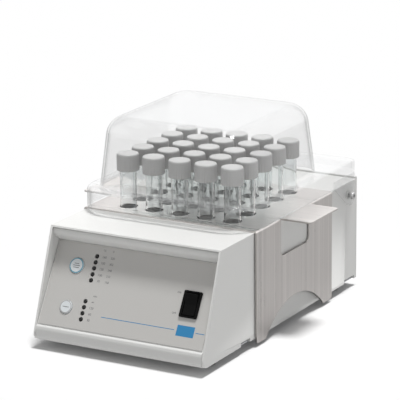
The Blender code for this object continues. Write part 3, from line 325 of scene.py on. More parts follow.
@dataclass(frozen=True)
class ClearSheet(Finish):
    """Clear formed plastic: nearly open face on, milky at a glancing angle."""

    face_haze: float = 0.012
    edge_haze: float = 0.42
    edge_power: float = 4.0
    index: float = 1.49
    mirror: Colour = (0.54, 0.545, 0.55)
    wipe_scale: float = 45.0

    def paint(self, shader: Shader) -> None:
        """Lay a mirror gloss over a haze, both by the sheet's angle to the eye.

        Args:
            shader: the material's nodes.
        """
        point = shader.place()
        facing = shader.node("ShaderNodeLayerWeight", {}, {"Blend": 0.5}, "Facing")
        wipes = shader.noise(point, self.wipe_scale, 3.0)
        haze = self.face_haze + (facing ** self.edge_power) * self.edge_haze
        shader.set(
            Base_Color=self.mottled(shader, point),
            Alpha=(haze + 0.02 * (wipes - 0.5)).clamped(),
            Roughness=self.roughness + 0.06 * (wipes - 0.5),
        )
        gloss = shader.node("ShaderNodeBsdfPrincipled", {}, {
            "Base Color": self.mirror, "Metallic": 1.0, "Roughness": self.roughness,
        })
        head_on = ((self.index - 1) / (self.index + 1)) ** 2
        shader.cover_with(gloss, (facing ** 5) * (1 - head_on) + head_on)


@dataclass(frozen=True)
class TubeGlass(Finish):
    """Drawn tube glass with faint long ripples."""

    index: float = 1.47
    ripple_scale: float = 420.0
    ripple_depth: float = 0.05 * MM

    def paint(self, shader: Shader) -> None:
        """Add the ripples to the clear glass.

        Args:
            shader: the material's nodes.
        """
        ripple = shader.noise(shader.place((1.0, 1.0, 0.12)), self.ripple_scale)
        shader.set(
            Base_Color=self.mottled(shader, shader.place()),
            Roughness=self.roughness + 0.02 * ripple,
            Transmission_Weight=1.0,
            IOR=self.index,
            Normal=shader.bump(ripple, self.ripple_depth),
        )


@dataclass(frozen=True)
class RingedFace(Finish):
    """A button's moulding with a ring printed round its face."""

    ink: Colour = (0.1, 0.4, 0.5)
    face: Matrix = field(default_factory=Matrix)
    ring_radius: float = 6.9 * MM
    ring_width: float = 0.9 * MM
    grain_scale: float = 1800.0
    grain_depth: float = 0.015 * MM

    def paint(self, shader: Shader) -> None:
        """Print the ring by the distance from the button's axis.

        Args:
            shader: the material's nodes.
        """
        undo = self.face.inverted()
        point = shader.node("ShaderNodeTexCoord", {}, {}, "Object")
        local = shader.node(
            "ShaderNodeMapping",
            {},
            {"Vector": point, "Location": tuple(undo.translation), "Rotation": tuple(undo.to_euler())},
        )
        flat = shader.node("ShaderNodeVectorMath", {"operation": "MULTIPLY"},
                           {0: local, 1: (1.0, 1.0, 0.0)})
        radius = shader.node("ShaderNodeVectorMath", {"operation": "LENGTH"}, {0: flat}, "Value")
        mask = (1 - (radius - self.ring_radius).size() / (self.ring_width / 2)) * 4
        grain = shader.noise(point, self.grain_scale)
        shader.set(
            Base_Color=shader.mix(mask.clamped(), self.mottled(shader, point), self.ink),
            Roughness=self.roughness + 0.1 * (grain - 0.5),
            Normal=shader.bump(grain, self.grain_depth),
        )


class Finishes:
    """The finishes of the heater."""

    PAINT = Grained("painted_sheet", "painted_sheet", (0.79, 0.79, 0.775), 0.5, mottle=0.012)
    PANEL = Grained("panel_film", "panel_print", (0.58, 0.57, 0.55), 0.45, mottle=0.01, grain_scale=2600.0,
                    grain_depth=0.012 * MM)
    GREY_INK = Grained("grey_ink", "panel_print", (0.10, 0.10, 0.11), 0.5, grain_scale=2500.0)
    BLUE_INK = Grained("blue_ink", "panel_print", (0.02, 0.22, 0.46), 0.5, grain_scale=2500.0)
    STEEL = Brushed("brushed_steel", "brushed_steel", (0.54, 0.515, 0.50), 0.32, 1.0)
    ZINC = Brushed("zinc_sheet", "zinc_sheet", (0.55, 0.56, 0.58), 0.4, 1.0, stretch=(40.0, 300.0, 40.0))
    SCREW = Brushed("screw_steel", "screw_steel", (0.5, 0.5, 0.5), 0.28, 1.0, stretch=(900.0, 900.0, 60.0))
    ALLOY = Brushed("block_alloy", "block_alloy", (0.75, 0.75, 0.77), 0.34, 1.0, stretch=(700.0, 20.0, 20.0))
    WHITE = Grained("button_plastic", "button_white", (0.78, 0.80, 0.80), 0.35, grain_scale=1800.0)
    BLACK = Grained("switch_plastic", "switch_black", (0.004, 0.004, 0.004), 0.6, grain_scale=1400.0,
                    grain_depth=0.02 * MM, specular=0.05)
    LAMP = Grained("lamp_lens", "lamp_dark", (0.006, 0.006, 0.006), 0.3, grain_depth=0.004 * MM, specular=0.2)
    BOARD = Brushed("circuit_board", "board_green", (0.03, 0.16, 0.07), 0.35, stretch=(400.0, 30.0, 400.0),
                    contrast=0.35)
    DARK = Grained("component_moulding", "component_dark", (0.04, 0.04, 0.05), 0.5)
    TAPE = Brushed("winding_tape", "transformer_tape", (0.7, 0.55, 0.12), 0.5, stretch=(20.0, 20.0, 500.0))
    CLEAR = ClearSheet("clear_plastic", "clear_cover", (0.82, 0.83, 0.835), 0.07, mottle=0.01)
    GLASS = TubeGlass("tube_glass", "vial_glass", (0.93, 0.95, 0.95), 0.0, mottle=0.01)
    CAP = Grained("cap_plastic", "cap_plastic", (0.60, 0.60, 0.595), 0.5, grain_scale=1700.0,
                  grain_depth=0.02 * MM)
    RUBBER = Grained("foot_rubber", "foot_rubber", (0.03, 0.03, 0.03), 0.85, grain_scale=1200.0)
    SILICONE = Grained("heater_silicone", "heater_silicone", (0.45, 0.12, 0.05), 0.7, grain_scale=700.0)
    WOOL = Grained("mineral_wool", "mineral_wool", (0.72, 0.68, 0.50), 0.95, mottle=0.12, grain_scale=420.0,
                   grain_depth=0.6 * MM)
    NYLON = Grained("spacer_nylon", "nylon", (0.8, 0.8, 0.78), 0.5)
    BRASS = Brushed("contact_brass", "contact_brass", (0.75, 0.62, 0.35), 0.28, 1.0,
                    stretch=(600.0, 30.0, 30.0))
    LEAD = Grained("lead_insulation", "lead_insulation", (0.30, 0.30, 0.32), 0.5)


# ---------------------------------------------------------------------------------------------
# Mesh tools


def rounded(corners: Sequence[Corner], steps: int = 6) -> list[Vector]:
    """Return an outline with its corners rounded.

    Args:
        corners: each corner as (x, y, radius).
        steps: the segments of each arc.

    Returns:
        The outline's points, in the corners' order.
    """
    points: list[Vector] = []
    for index, (x, y, radius) in enumerate(corners):
        here = Vector((x, y))
        if radius == 0:
            points.append(here)
            continue
        before = (Vector(corners[index - 1][:2]) - here).normalized()
        after = (Vector(corners[(index + 1) % len(corners)][:2]) - here).normalized()
        half = before.angle(after) / 2
        centre = here + (before + after).normalized() * radius / math.sin(half)
        start = (here + before * radius / math.tan(half) - centre).normalized()
        end = (here + after * radius / math.tan(half) - centre).normalized()
        points += [centre + start.slerp(end, step / steps) * radius for step in range(steps + 1)]
    return points


def arc(x: float, y: float, radius: float, start: float, end: float, steps: int) -> list[Vector]:
    """Return points along an arc about (x, y), between two angles in radians."""
    angles = [start + (end - start) * step / steps for step in range(steps + 1)]
    return [Vector((x + radius * math.cos(angle), y + radius * math.sin(angle))) for angle in angles]


def evaluated(mesh: bpy.types.Mesh, modifiers: Iterable[Modifier]) -> bpy.types.Mesh:
    """Return a mesh with modifiers applied.

    Args:
        mesh: the mesh, which is removed.
        modifiers: each modifier's type and settings, in order.

    Returns:
        The new mesh.
    """
    work = bpy.data.objects.new("work", mesh)
    bpy.context.scene.collection.objects.link(work)
    for kind, settings in modifiers:
        modifier = work.modifiers.new(kind.lower(), kind)
        for key, value in settings.items():
            setattr(modifier, key, value)
    bpy.context.view_layer.update()
    graph = bpy.context.evaluated_depsgraph_get()
    result = bpy.data.meshes.new_from_object(work.evaluated_get(graph))
    bpy.data.objects.remove(work, do_unlink=True)
    bpy.data.meshes.remove(mesh)
    return result


def softened(width: float, segments: int = 2, angle: float = 40.0) -> Modifier:
    """Return a Bevel that rounds the edges sharper than an angle in degrees."""
    return ("BEVEL", {
        "width": width,
        "segments": segments,
        "limit_method": "ANGLE",
        "angle_limit": math.radians(angle),
        "use_clamp_overlap": True,
        "miter_outer": "MITER_ARC",
    })


def thickened(thickness: float) -> Modifier:
    """Return a Solidify that gives a sheet its wall, inwards from its drawn face."""
    return ("SOLIDIFY", {"thickness": thickness, "offset": -1.0, "use_even_offset": True})


def add_piece(name: str, shape: BMesh, finish: Finish, body: Body, nodes: Sequence[str] = (),
              modifiers: Sequence[Modifier] = ()) -> bpy.types.Object:
    """Make a shape a finished piece of the object.

    Args:
        name: the piece's name.
        shape: its mesh in the row frame, which is freed.
        finish: its surface finish.
        body: the body it rides on.
        nodes: the CAD nodes it stands for.
        modifiers: what rounds or thickens it.

    Returns:
        The piece's object, at the origin.
    """
    mesh = bpy.data.meshes.new(name)
    shape.to_mesh(mesh)
    shape.free()
    mesh.shade_smooth()
    mesh = evaluated(mesh, modifiers)
    mesh.shade_smooth()
    mesh.set_sharp_from_angle(angle=SHARP)
    mesh = evaluated(mesh, [("WEIGHTED_NORMAL", {"keep_sharp": True})])
    mesh.name = name
    mesh.materials.clear()
    mesh.materials.append(finish.material())
    piece = bpy.data.objects.new(name, mesh)
    bpy.context.scene.collection.objects.link(piece)
    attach(piece, body.value)
    if nodes:
        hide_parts(*nodes)
    LOG.info("%s: %d faces in %s", name, len(mesh.polygons), finish.name)
    return piece


def dress(finish: Finish, *nodes: str) -> None:
    """Give CAD nodes that stay in view, or inside, their finish.

    Args:
        finish: the surface finish.
        nodes: the nodes' names.
    """
    for node in nodes:
        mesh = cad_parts[node].data
        mesh.materials.clear()
        mesh.materials.append(finish.material())
        LOG.info("%s: dressed in %s", node, finish.name)


def from_node(node: str) -> BMesh:
    """Return a merged copy of a CAD node's mesh, with its flat faces whole.

    Args:
        node: the node's name.

    Returns:
        The copy.
    """
    shape = bmesh.new()
    shape.from_mesh(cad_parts[node].data)
    bmesh.ops.remove_doubles(shape, verts=shape.verts, dist=WELD)
    bmesh.ops.dissolve_limit(shape, angle_limit=FLAT, verts=shape.verts, edges=shape.edges)
    bmesh.ops.recalc_face_normals(shape, faces=shape.faces)
    return shape


def bevelled(shape: BMesh, edges: Iterable[BMEdge], width: float, segments: int) -> None:
    """Round the given edges of a shape."""
    bmesh.ops.bevel(shape, geom=list(edges), offset=width, offset_type="OFFSET", segments=segments,
                    profile=0.5, affect="EDGES", clamp_overlap=True, material=-1)


def merged(*shapes: BMesh) -> BMesh:
    """Gather shapes in one.

    Args:
        shapes: the shapes, which are freed.

    Returns:
        One shape that holds them all.
    """
    whole = bmesh.new()
    for shape in shapes:
        mesh = bpy.data.meshes.new("part")
        shape.to_mesh(mesh)
        shape.free()
        whole.from_mesh(mesh)
        bpy.data.meshes.remove(mesh)
    return whole


def moved(shape: BMesh, transform: Matrix) -> BMesh:
    """Move a shape to its place, and return it."""
    bmesh.ops.transform(shape, matrix=transform, verts=shape.verts)
    return shape


def repeated(shape: BMesh, places: Iterable[Matrix]) -> BMesh:
    """Set copies of a shape at places.

    Args:
        shape: the shape, which is freed.
        places: where each copy goes.

    Returns:
        One shape that holds every copy.
    """
    whole = merged(*[moved(shape.copy(), place) for place in places])
    shape.free()
    return whole


def block(low: Sequence[float], high: Sequence[float]) -> BMesh:
    """Return a box.

    Args:
        low: its lowest corner.
        high: its highest corner.

    Returns:
        The closed box.
    """
    shape = bmesh.new()
    bmesh.ops.create_cube(shape, size=1)
    span = Vector(high) - Vector(low)
    bmesh.ops.scale(shape, vec=span, verts=shape.verts)
    bmesh.ops.translate(shape, vec=(Vector(low) + Vector(high)) / 2, verts=shape.verts)
    return shape


def revolved(profile: Sequence[Sequence[float]], steps: int) -> BMesh:
    """Return a closed shape turned about Z.

    Args:
        profile: (radius, height) points that start and end on the axis, or close on themselves.
        steps: the number of segments round the axis.

    Returns:
        The shape with its normals outwards.
    """
    shape = bmesh.new()
    verts = [shape.verts.new((radius, 0, height)) for radius, height in profile]
    edges = [shape.edges.new(pair) for pair in zip(verts, verts[1:])]
    if profile[0][0] > 0:
        edges.append(shape.edges.new((verts[-1], verts[0])))
    bmesh.ops.spin(shape, geom=[*verts, *edges], cent=(0, 0, 0), axis=(0, 0, 1), angle=math.tau,
                   steps=steps, use_merge=True, use_duplicate=False)
    bmesh.ops.remove_doubles(shape, verts=shape.verts, dist=WELD)
    bmesh.ops.dissolve_degenerate(shape, edges=shape.edges, dist=WELD)
    bmesh.ops.recalc_face_normals(shape, faces=shape.faces)
    return shape


def flat_sheet(outline: Sequence[Vector], holes: Iterable[Sequence[Vector]] = ()) -> BMesh:
    """Return a flat sheet in XY that faces +Z.

    Args:
        outline: its edge.
        holes: the edges of its holes.

    Returns:
        The sheet, with no thickness.
    """
    curve = bpy.data.curves.new("outline", "CURVE")
    curve.dimensions = "2D"
    curve.fill_mode = "BOTH"
    for loop in (outline, *holes):
        spline = curve.splines.new("POLY")
        spline.points.add(len(loop) - 1)
        for point, spot in zip(spline.points, loop):
            point.co = (spot[0], spot[1], 0, 1)
        spline.use_cyclic_u = True
    return curve_shape(curve)


def curve_shape(curve: bpy.types.Curve) -> BMesh:
    """Return the filled surface of a curve or a text.

    Args:
        curve: the curve, which is removed.

    Returns:
        The surface, facing +Z.
    """
    work = bpy.data.objects.new("work", curve)
    bpy.context.scene.collection.objects.link(work)
    bpy.context.view_layer.update()
    graph = bpy.context.evaluated_depsgraph_get()
    mesh = bpy.data.meshes.new_from_object(work.evaluated_get(graph))
    bpy.data.objects.remove(work, do_unlink=True)
    bpy.data.curves.remove(curve)
    shape = bmesh.new()
    shape.from_mesh(mesh)
    bpy.data.meshes.remove(mesh)
    bmesh.ops.remove_doubles(shape, verts=shape.verts, dist=WELD)
    bmesh.ops.dissolve_degenerate(shape, edges=shape.edges, dist=WELD)
    if shape.faces and sum(face.normal.z for face in shape.faces) < 0:
        bmesh.ops.reverse_faces(shape, faces=shape.faces)
    return shape


def lettering(text: str, height: float) -> BMesh:
    """Return text as a flat shape.

    Args:
        text: the characters.
        height: the size of the letters.

    Returns:
        The letters, centred on the origin.
    """
    curve = bpy.data.curves.new("lettering", "FONT")
    curve.body = text
    curve.size = height
    curve.align_x = "CENTER"
    curve.align_y = "CENTER"
    curve.resolution_u = 3
    return curve_shape(curve)


def raised(shape: BMesh, thickness: float) -> BMesh:
    """Give a flat shape a thickness.

    Args:
        shape: the shape, facing +Z.
        thickness: how far it rises.

    Returns:
        The same shape, closed.
    """
    grown = bmesh.ops.extrude_face_region(shape, geom=list(shape.faces), use_keep_orig=True)
    lifted = [item for item in grown["geom"] if isinstance(item, BMVert)]
    bmesh.ops.translate(shape, vec=(0, 0, thickness), verts=lifted)
    bmesh.ops.recalc_face_normals(shape, faces=shape.faces)
    return shape


def bounded_loop(shape: BMesh, edges: Iterable[BMEdge],
                 outwards: Callable[[BMVert], Vector]) -> list[BMEdge]:
    """Extend an open edge loop by one step.

    Args:
        shape: the shape that holds the loop.
        edges: the loop's edges.
        outwards: gives each new vertex's move.

    Returns:
        The new loop's edges.
    """
    grown = bmesh.ops.extrude_edge_only(shape, edges=list(edges))["geom"]
    fresh = {item for item in grown if isinstance(item, BMVert)}
    for vert in fresh:
        vert.co += outwards(vert)
    return [item for item in grown if isinstance(item, BMEdge) and set(item.verts) <= fresh]


def socket_screw(head: Sequence[Sequence[float]], key: float, depth: float, steps: int = 28) -> BMesh:
    """Return a screw with a six-sided key hole, its axis along Z.

    Args:
        head: (radius, height) points from the head's flat rim to the shank's end on the axis.
        key: the key hole's half width across its corners.
        depth: the key hole's depth.
        steps: the segments round the head.

    Returns:
        The closed shape.
    """
    shape = bmesh.new()
    verts = [shape.verts.new((radius, 0, height)) for radius, height in head]
    edges = [shape.edges.new(pair) for pair in zip(verts, verts[1:])]
    bmesh.ops.spin(shape, geom=[*verts, *edges], cent=(0, 0, 0), axis=(0, 0, 1), angle=math.tau,
                   steps=steps, use_merge=True, use_duplicate=False)
    bmesh.ops.remove_doubles(shape, verts=shape.verts, dist=WELD)
    top = head[0][1]
    rim = [edge for edge in shape.edges if edge.is_boundary]
    hexagon = bmesh.ops.create_circle(shape, segments=6, radius=key, cap_ends=False)["verts"]
    bmesh.ops.translate(shape, vec=(0, 0, top), verts=hexagon)
    mouth = list({edge for vert in hexagon for edge in vert.link_edges})
    bmesh.ops.triangle_fill(shape, use_beauty=True, edges=rim + mouth)
    floor = bounded_loop(shape, mouth, lambda vert: Vector((0, 0, -depth)))
    bmesh.ops.contextual_create(shape, geom=floor)
    bmesh.ops.recalc_face_normals(shape, faces=shape.faces)
    return shape


# ---------------------------------------------------------------------------------------------
# Sub-assemblies


@dataclass
class Casing:
    """The painted shell, the folded front sheet, the back plate and the base."""

    fold_radius: float = 1.4 * MM
    edge_radius: float = 0.45 * MM
    front_fold_radius: float = 1.1 * MM
    front_edge_radius: float = 0.2 * MM
    front_top_y: float = -121.8 * MM
    front_fold_angle: float = math.radians(70)
    foot_lip: float = 1.2 * MM
    foot_seat: float = 7.7 * MM
    foot_taper: float = 1.0 * MM
    foot_rim: float = 3.5 * MM
    foot_hollow: float = 1.5 * MM
    stem_radius: float = 3.0 * MM
    stem_tip_radius: float = 2.0 * MM
    screw_head_radius: float = 3.0 * MM
    screw_head_height: float = 0.9 * MM
    screw_shank_radius: float = 1.4 * MM
    screw_key: float = 1.4 * MM
    screw_key_depth: float = 0.7 * MM

    def build(self) -> None:
        """Make the casing's pieces and dress the ones that stay."""
        self.shell()
        self.fascia()
        add_piece("rear_panel", from_node("back_plate"), Finishes.PAINT, Body.CASING, ["back_plate"],
                  [softened(self.edge_radius, 3)])
        for node in ("foot_front_left", "foot_front_right", "foot_rear_left", "foot_rear_right"):
            self.foot(node)
        for side in ("left", "right"):
            for level in ("low", "high"):
                self.rear_screw(f"back_screw_{level}_{side}")
        dress(Finishes.ZINC, "base_plate", "tray_stand")

    def shell(self) -> None:
        """Round the folds of the top, and soften every cut edge."""
        shape = from_node("housing_shell")
        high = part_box("housing_shell")[1]
        bevelled(shape, [edge for edge in shape.edges if self.is_fold(edge, high)], self.fold_radius, 5)
        add_piece("casing_shell", shape, Finishes.PAINT, Body.CASING, ["housing_shell"],
                  [softened(self.edge_radius, 3)])

    def is_fold(self, edge: BMEdge, high: Vector) -> bool:
        """Tell the folds of the shell's top: along a side, or across the front.

        Args:
            edge: an edge of the shell.
            high: the shell's highest corner.

        Returns:
            Whether the edge is a fold.
        """
        first, second = (vert.co for vert in edge.verts)
        on_top = max(abs(first.z - high.z), abs(second.z - high.z)) < WELD
        on_side = max(abs(abs(first.x) - high.x), abs(abs(second.x) - high.x)) < WELD
        in_front = max(first.y, second.y) < self.front_top_y + WELD
        return on_top and (on_side or in_front)

    def fascia(self) -> None:
        """Round the folds that run across the front sheet."""
        shape = from_node("front_fascia")
        low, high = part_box("front_fascia")
        nearly_across = (high.x - low.x) * 0.9
        folds = [edge for edge in shape.edges
                 if abs(edge.verts[0].co.x - edge.verts[1].co.x) > nearly_across
                 and edge.is_manifold and edge.calc_face_angle() < self.front_fold_angle]
        bevelled(shape, folds, self.front_fold_radius, 4)
        add_piece("front_sheet", shape, Finishes.PAINT, Body.CASING, ["front_fascia"],
                  [softened(self.front_edge_radius, 2, 60)])

    def foot(self, node: str) -> None:
        """Turn one rubber foot, with a lip, a rounded tread and a push-in stem.

        Args:
            node: the CAD node it stands for.
        """
        low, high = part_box(node)
        middle = (low + high) / 2
        wide = (high.x - low.x) / 2
        seat = low.z + self.foot_seat
        tread = wide - self.foot_rim
        hollow = low.z + self.foot_hollow
        profile = rounded([
            (0, high.z, 0),
            (self.stem_tip_radius, high.z - 0.6 * MM, 0),
            (self.stem_radius, high.z - 2.2 * MM, 0.6 * MM),
            (self.stem_radius, seat, 0),
            (wide, seat, self.foot_lip),
            (wide - self.foot_taper, low.z, self.foot_lip),
            (tread, low.z, 0.5 * MM),
            (tread - 0.7 * MM, hollow, 0),
            (0, hollow, 0),
        ], 4)
        shape = moved(revolved(profile, 40), Matrix.Translation((middle.x, middle.y, 0)))
        add_piece(f"rubber_{node}", shape, Finishes.RUBBER, Body.CASING, [node])

    def rear_screw(self, node: str) -> None:
        """Make one screw of the back plate.

        Args:
            node: the CAD node it stands for.
        """
        low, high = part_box(node)
        middle = (low + high) / 2
        reach = high.y - low.y
        seat = reach - self.screw_head_height
        profile = rounded([
            (self.screw_head_radius - 0.8 * MM, reach, 0),
            (self.screw_head_radius, reach, 0.5 * MM),
            (self.screw_head_radius, seat, 0),
            (self.screw_shank_radius, seat, 0),
            (self.screw_shank_radius, 0.4 * MM, 0.3 * MM),
            (0, 0, 0),
        ], 3)
        screw = socket_screw(profile, self.screw_key, self.screw_key_depth)
        rearwards = Matrix.Translation((middle.x, low.y, middle.z)) @ Matrix.Rotation(-QUARTER, 4, "X")
        add_piece(f"{node}_head", moved(screw, rearwards), Finishes.SCREW, Body.CASING, [node])


@dataclass
class ControlPanel:
    """The printed film, the lamps, the two buttons and the power switch, on the front slope."""

    top_y: float = -111.0 * MM
    top_z: float = 93.8 * MM
    bottom_y: float = -153.0 * MM
    bottom_z: float = 23.2 * MM
    film_top: float = 0.7 * MM
    ink: float = 0.05 * MM
    button_x: float = -61.8 * MM
    button_top: float = 1.7 * MM
    button_dish: float = 0.25 * MM
    flange_top: float = -3.2 * MM
    flange_bottom: float = -5.0 * MM
    flange_reach: float = 1.5 * MM
    upper_button: float = 22.6 * MM
    lower_button: float = 62.4 * MM
    upper_button_radius: float = 7.5 * MM
    lower_button_radius: float = 6.5 * MM
    line_pitch: float = 1.9 * MM
    line_half: float = 0.25 * MM
    line_height: float = 0.2 * MM
    lamp_x: float = -43.3 * MM
    lamp_pitch: float = 5.76 * MM
    lamp_radius: float = 2.0 * MM
    lamp_dome: float = 1.15 * MM
    lamp_board: float = -9.2 * MM
    lamp_bar_half: float = 3.0 * MM
    lamp_bar_height: float = 2.6 * MM
    upper_lamp: float = 11.1 * MM
    lower_lamp: float = 54.25 * MM
    temperatures: Sequence[tuple[int, int]] = ((160, 320), (150, 302), (120, 248), (100, 212), (70, 158))
    minutes: Sequence[str] = ("∞", "120", "60", "30")
    digit_height: float = 3.1 * MM
    first_scale_x: float = -35.4 * MM
    second_scale_x: float = -26.4 * MM
    rule_top: float = 66.1 * MM
    rule_bottom: float = 66.7 * MM
    box_radius: float = 0.4 * MM

    def __post_init__(self) -> None:
        """Work out the panel's own frame: X across, Y up the slope, Z out."""
        tilt = math.atan2(self.top_z - self.bottom_z, self.top_y - self.bottom_y)
        self.slope = Matrix.Translation((0, self.top_y, self.top_z)) @ Matrix.Rotation(tilt, 4, "X")

    def at(self, x: float, down: float, out: float = 0.0) -> Matrix:
        """Return the place at x, a distance down the slope and a height above the sheet."""
        return self.slope @ Matrix.Translation((x, -down, out))

    def build(self) -> None:
        """Make the panel's pieces and dress the ones that stay."""
        dress(Finishes.PANEL, "panel_overlay")
        dress(Finishes.BOARD, "control_board")
        dress(Finishes.DARK, "key_switch_upper", "key_switch_lower")
        self.lamps("upper", self.upper_lamp, len(self.temperatures))
        self.lamps("lower", self.lower_lamp, len(self.minutes))
        self.button("upper", Body.UPPER_BUTTON, self.upper_button, self.upper_button_radius,
                    (0.06, 0.30, 0.42), (2.6 * MM, 3.8 * MM, 3.0 * MM))
        self.button("lower", Body.LOWER_BUTTON, self.lower_button, self.lower_button_radius,
                    (0.42, 0.42, 0.42), (3.6 * MM,))
        self.printing()
        self.blue_printing()
        self.switch()

    def lamps(self, level: str, first: float, count: int) -> None:
        """Make one column of domed lamps on its bar behind the panel.

        Args:
            level: upper or lower.
            first: the top lamp's distance down the slope.
            count: the number of lamps.
        """
        foot = self.lamp_board + MM
        lens = rounded([
            (0, self.lamp_dome, 0),
            (1.2 * MM, self.lamp_dome - 0.15 * MM, 0.8 * MM),
            (self.lamp_radius, 0.3 * MM, 0.6 * MM),
            (self.lamp_radius, foot, 0),
            (0, foot, 0),
        ], 5)
        last = first + self.lamp_pitch * (count - 1)
        half = self.lamp_bar_half
        column = repeated(revolved(lens, 28),
                          [self.at(self.lamp_x, first + self.lamp_pitch * index) for index in range(count)])
        bar = block((-half, -last - half, self.lamp_board),
                    (half, -first + half, self.lamp_board + self.lamp_bar_height))
        whole = merged(column, moved(bar, self.at(self.lamp_x, 0)))
        add_piece(f"indicator_lamps_{level}", whole, Finishes.LAMP, Body.CASING, [f"lamp_bar_{level}"])

    def button(self, level: str, body: Body, down: float, radius: float, ink: Colour,
               lines: Sequence[float]) -> None:
        """Make one push button with its printed ring and lines.

        Args:
            level: upper or lower.
            body: the body it rides on.
            down: its distance down the slope.
            radius: its radius.
            ink: the ring's colour.
            lines: the half length of each printed line, from the top.
        """
        top = self.button_top
        rim = radius + self.flange_reach
        profile = rounded([
            (0, top - self.button_dish, 0),
            (radius - 1.6 * MM, top, 1.5 * MM),
            (radius, top, 0.7 * MM),
            (radius, self.flange_top, 0),
            (rim, self.flange_top, 0.2 * MM),
            (rim, self.flange_bottom, 0.2 * MM),
            (0, self.flange_bottom, 0),
        ], 5)
        face = self.at(self.button_x, down)
        finish = RingedFace(f"{level}_button_face", "button_white", (0.76, 0.80, 0.82), 0.32, mottle=0.01,
                            ink=ink, face=face, ring_radius=radius - 0.75 * MM, ring_width=1.1 * MM)
        add_piece(f"push_button_{level}", moved(revolved(profile, 64), face), finish, body,
                  [f"button_{level}"])
        marks = []
        for index, half in enumerate(lines):
            offset = ((len(lines) - 1) / 2 - index) * self.line_pitch
            mark = self.area(-half, half, -self.line_half, self.line_half, 0.2 * MM, self.line_height, 2)
            marks.append(moved(mark, self.at(self.button_x, down - offset, top - 0.28 * MM)))
        add_piece(f"button_marks_{level}", merged(*marks), Finishes.GREY_INK, body)

    def area(self, left: float, right: float, upper: float, lower: float, radius: float, height: float,
             steps: int) -> BMesh:
        """Return a printed area with rounded corners, its upper and lower edges counted downwards."""
        corners = [(x, -down, radius) for x, down in
                   ((left, lower), (right, lower), (right, upper), (left, upper))]
        return raised(flat_sheet(rounded(corners, steps)), height)

    def printing(self) -> None:
        """Print the scales beside the lamps and the words beside the switch."""
        size = self.digit_height
        small = size * 0.9
        words = [
            ("°C", -36.6 * MM, 4.9 * MM, small),
            ("°F", -27.5 * MM, 4.9 * MM, small),
            ("min", -34.5 * MM, 48.4 * MM, small),
            ("ON", 50.0 * MM, 31.9 * MM, size * 0.8),
            ("OFF", 49.6 * MM, 51.4 * MM, size * 0.8),
        ]
        for index, (celsius, fahrenheit) in enumerate(self.temperatures):
            down = self.upper_lamp + self.lamp_pitch * index
            words.append((str(celsius), self.first_scale_x, down, size))
            words.append((str(fahrenheit), self.second_scale_x, down, size * 0.92))
        for index, minutes in enumerate(self.minutes):
            words.append((minutes, self.first_scale_x, self.lower_lamp + self.lamp_pitch * index, size))
        shapes = [moved(raised(lettering(text, height), self.ink), self.at(x, down, self.ink_base()))
                  for text, x, down, height in words]
        add_piece("panel_scales", merged(*shapes), Finishes.GREY_INK, Body.CASING)

    def ink_base(self) -> float:
        """Return the level at which the ink starts, just inside the film."""
        return self.film_top - self.ink / 4

    def blue_printing(self) -> None:
        """Print the blue rule and the plain blue box across its right end."""
        areas = (
            (-23.0 * MM, 54.0 * MM, self.rule_top, self.rule_bottom, 0.0),
            (76.2 * MM, 85.4 * MM, self.rule_top, self.rule_bottom, 0.0),
            (56.5 * MM, 74.5 * MM, 61.3 * MM, 71.4 * MM, self.box_radius),
        )
        shapes = [moved(self.area(*edges, self.ink, 3), self.at(0, 0, self.ink_base())) for edges in areas]
        add_piece("panel_blue_print", merged(*shapes), Finishes.BLUE_INK, Body.CASING)

    def switch(self) -> None:
        """Round the switch's frame and its rocker."""
        add_piece("switch_frame", from_node("power_switch_frame"), Finishes.BLACK, Body.CASING,
                  ["power_switch_frame"], [softened(0.5 * MM, 3)])
        add_piece("switch_rocker", from_node("power_rocker"), Finishes.BLACK, Body.ROCKER, ["power_rocker"],
                  [softened(0.7 * MM, 4, 10)])


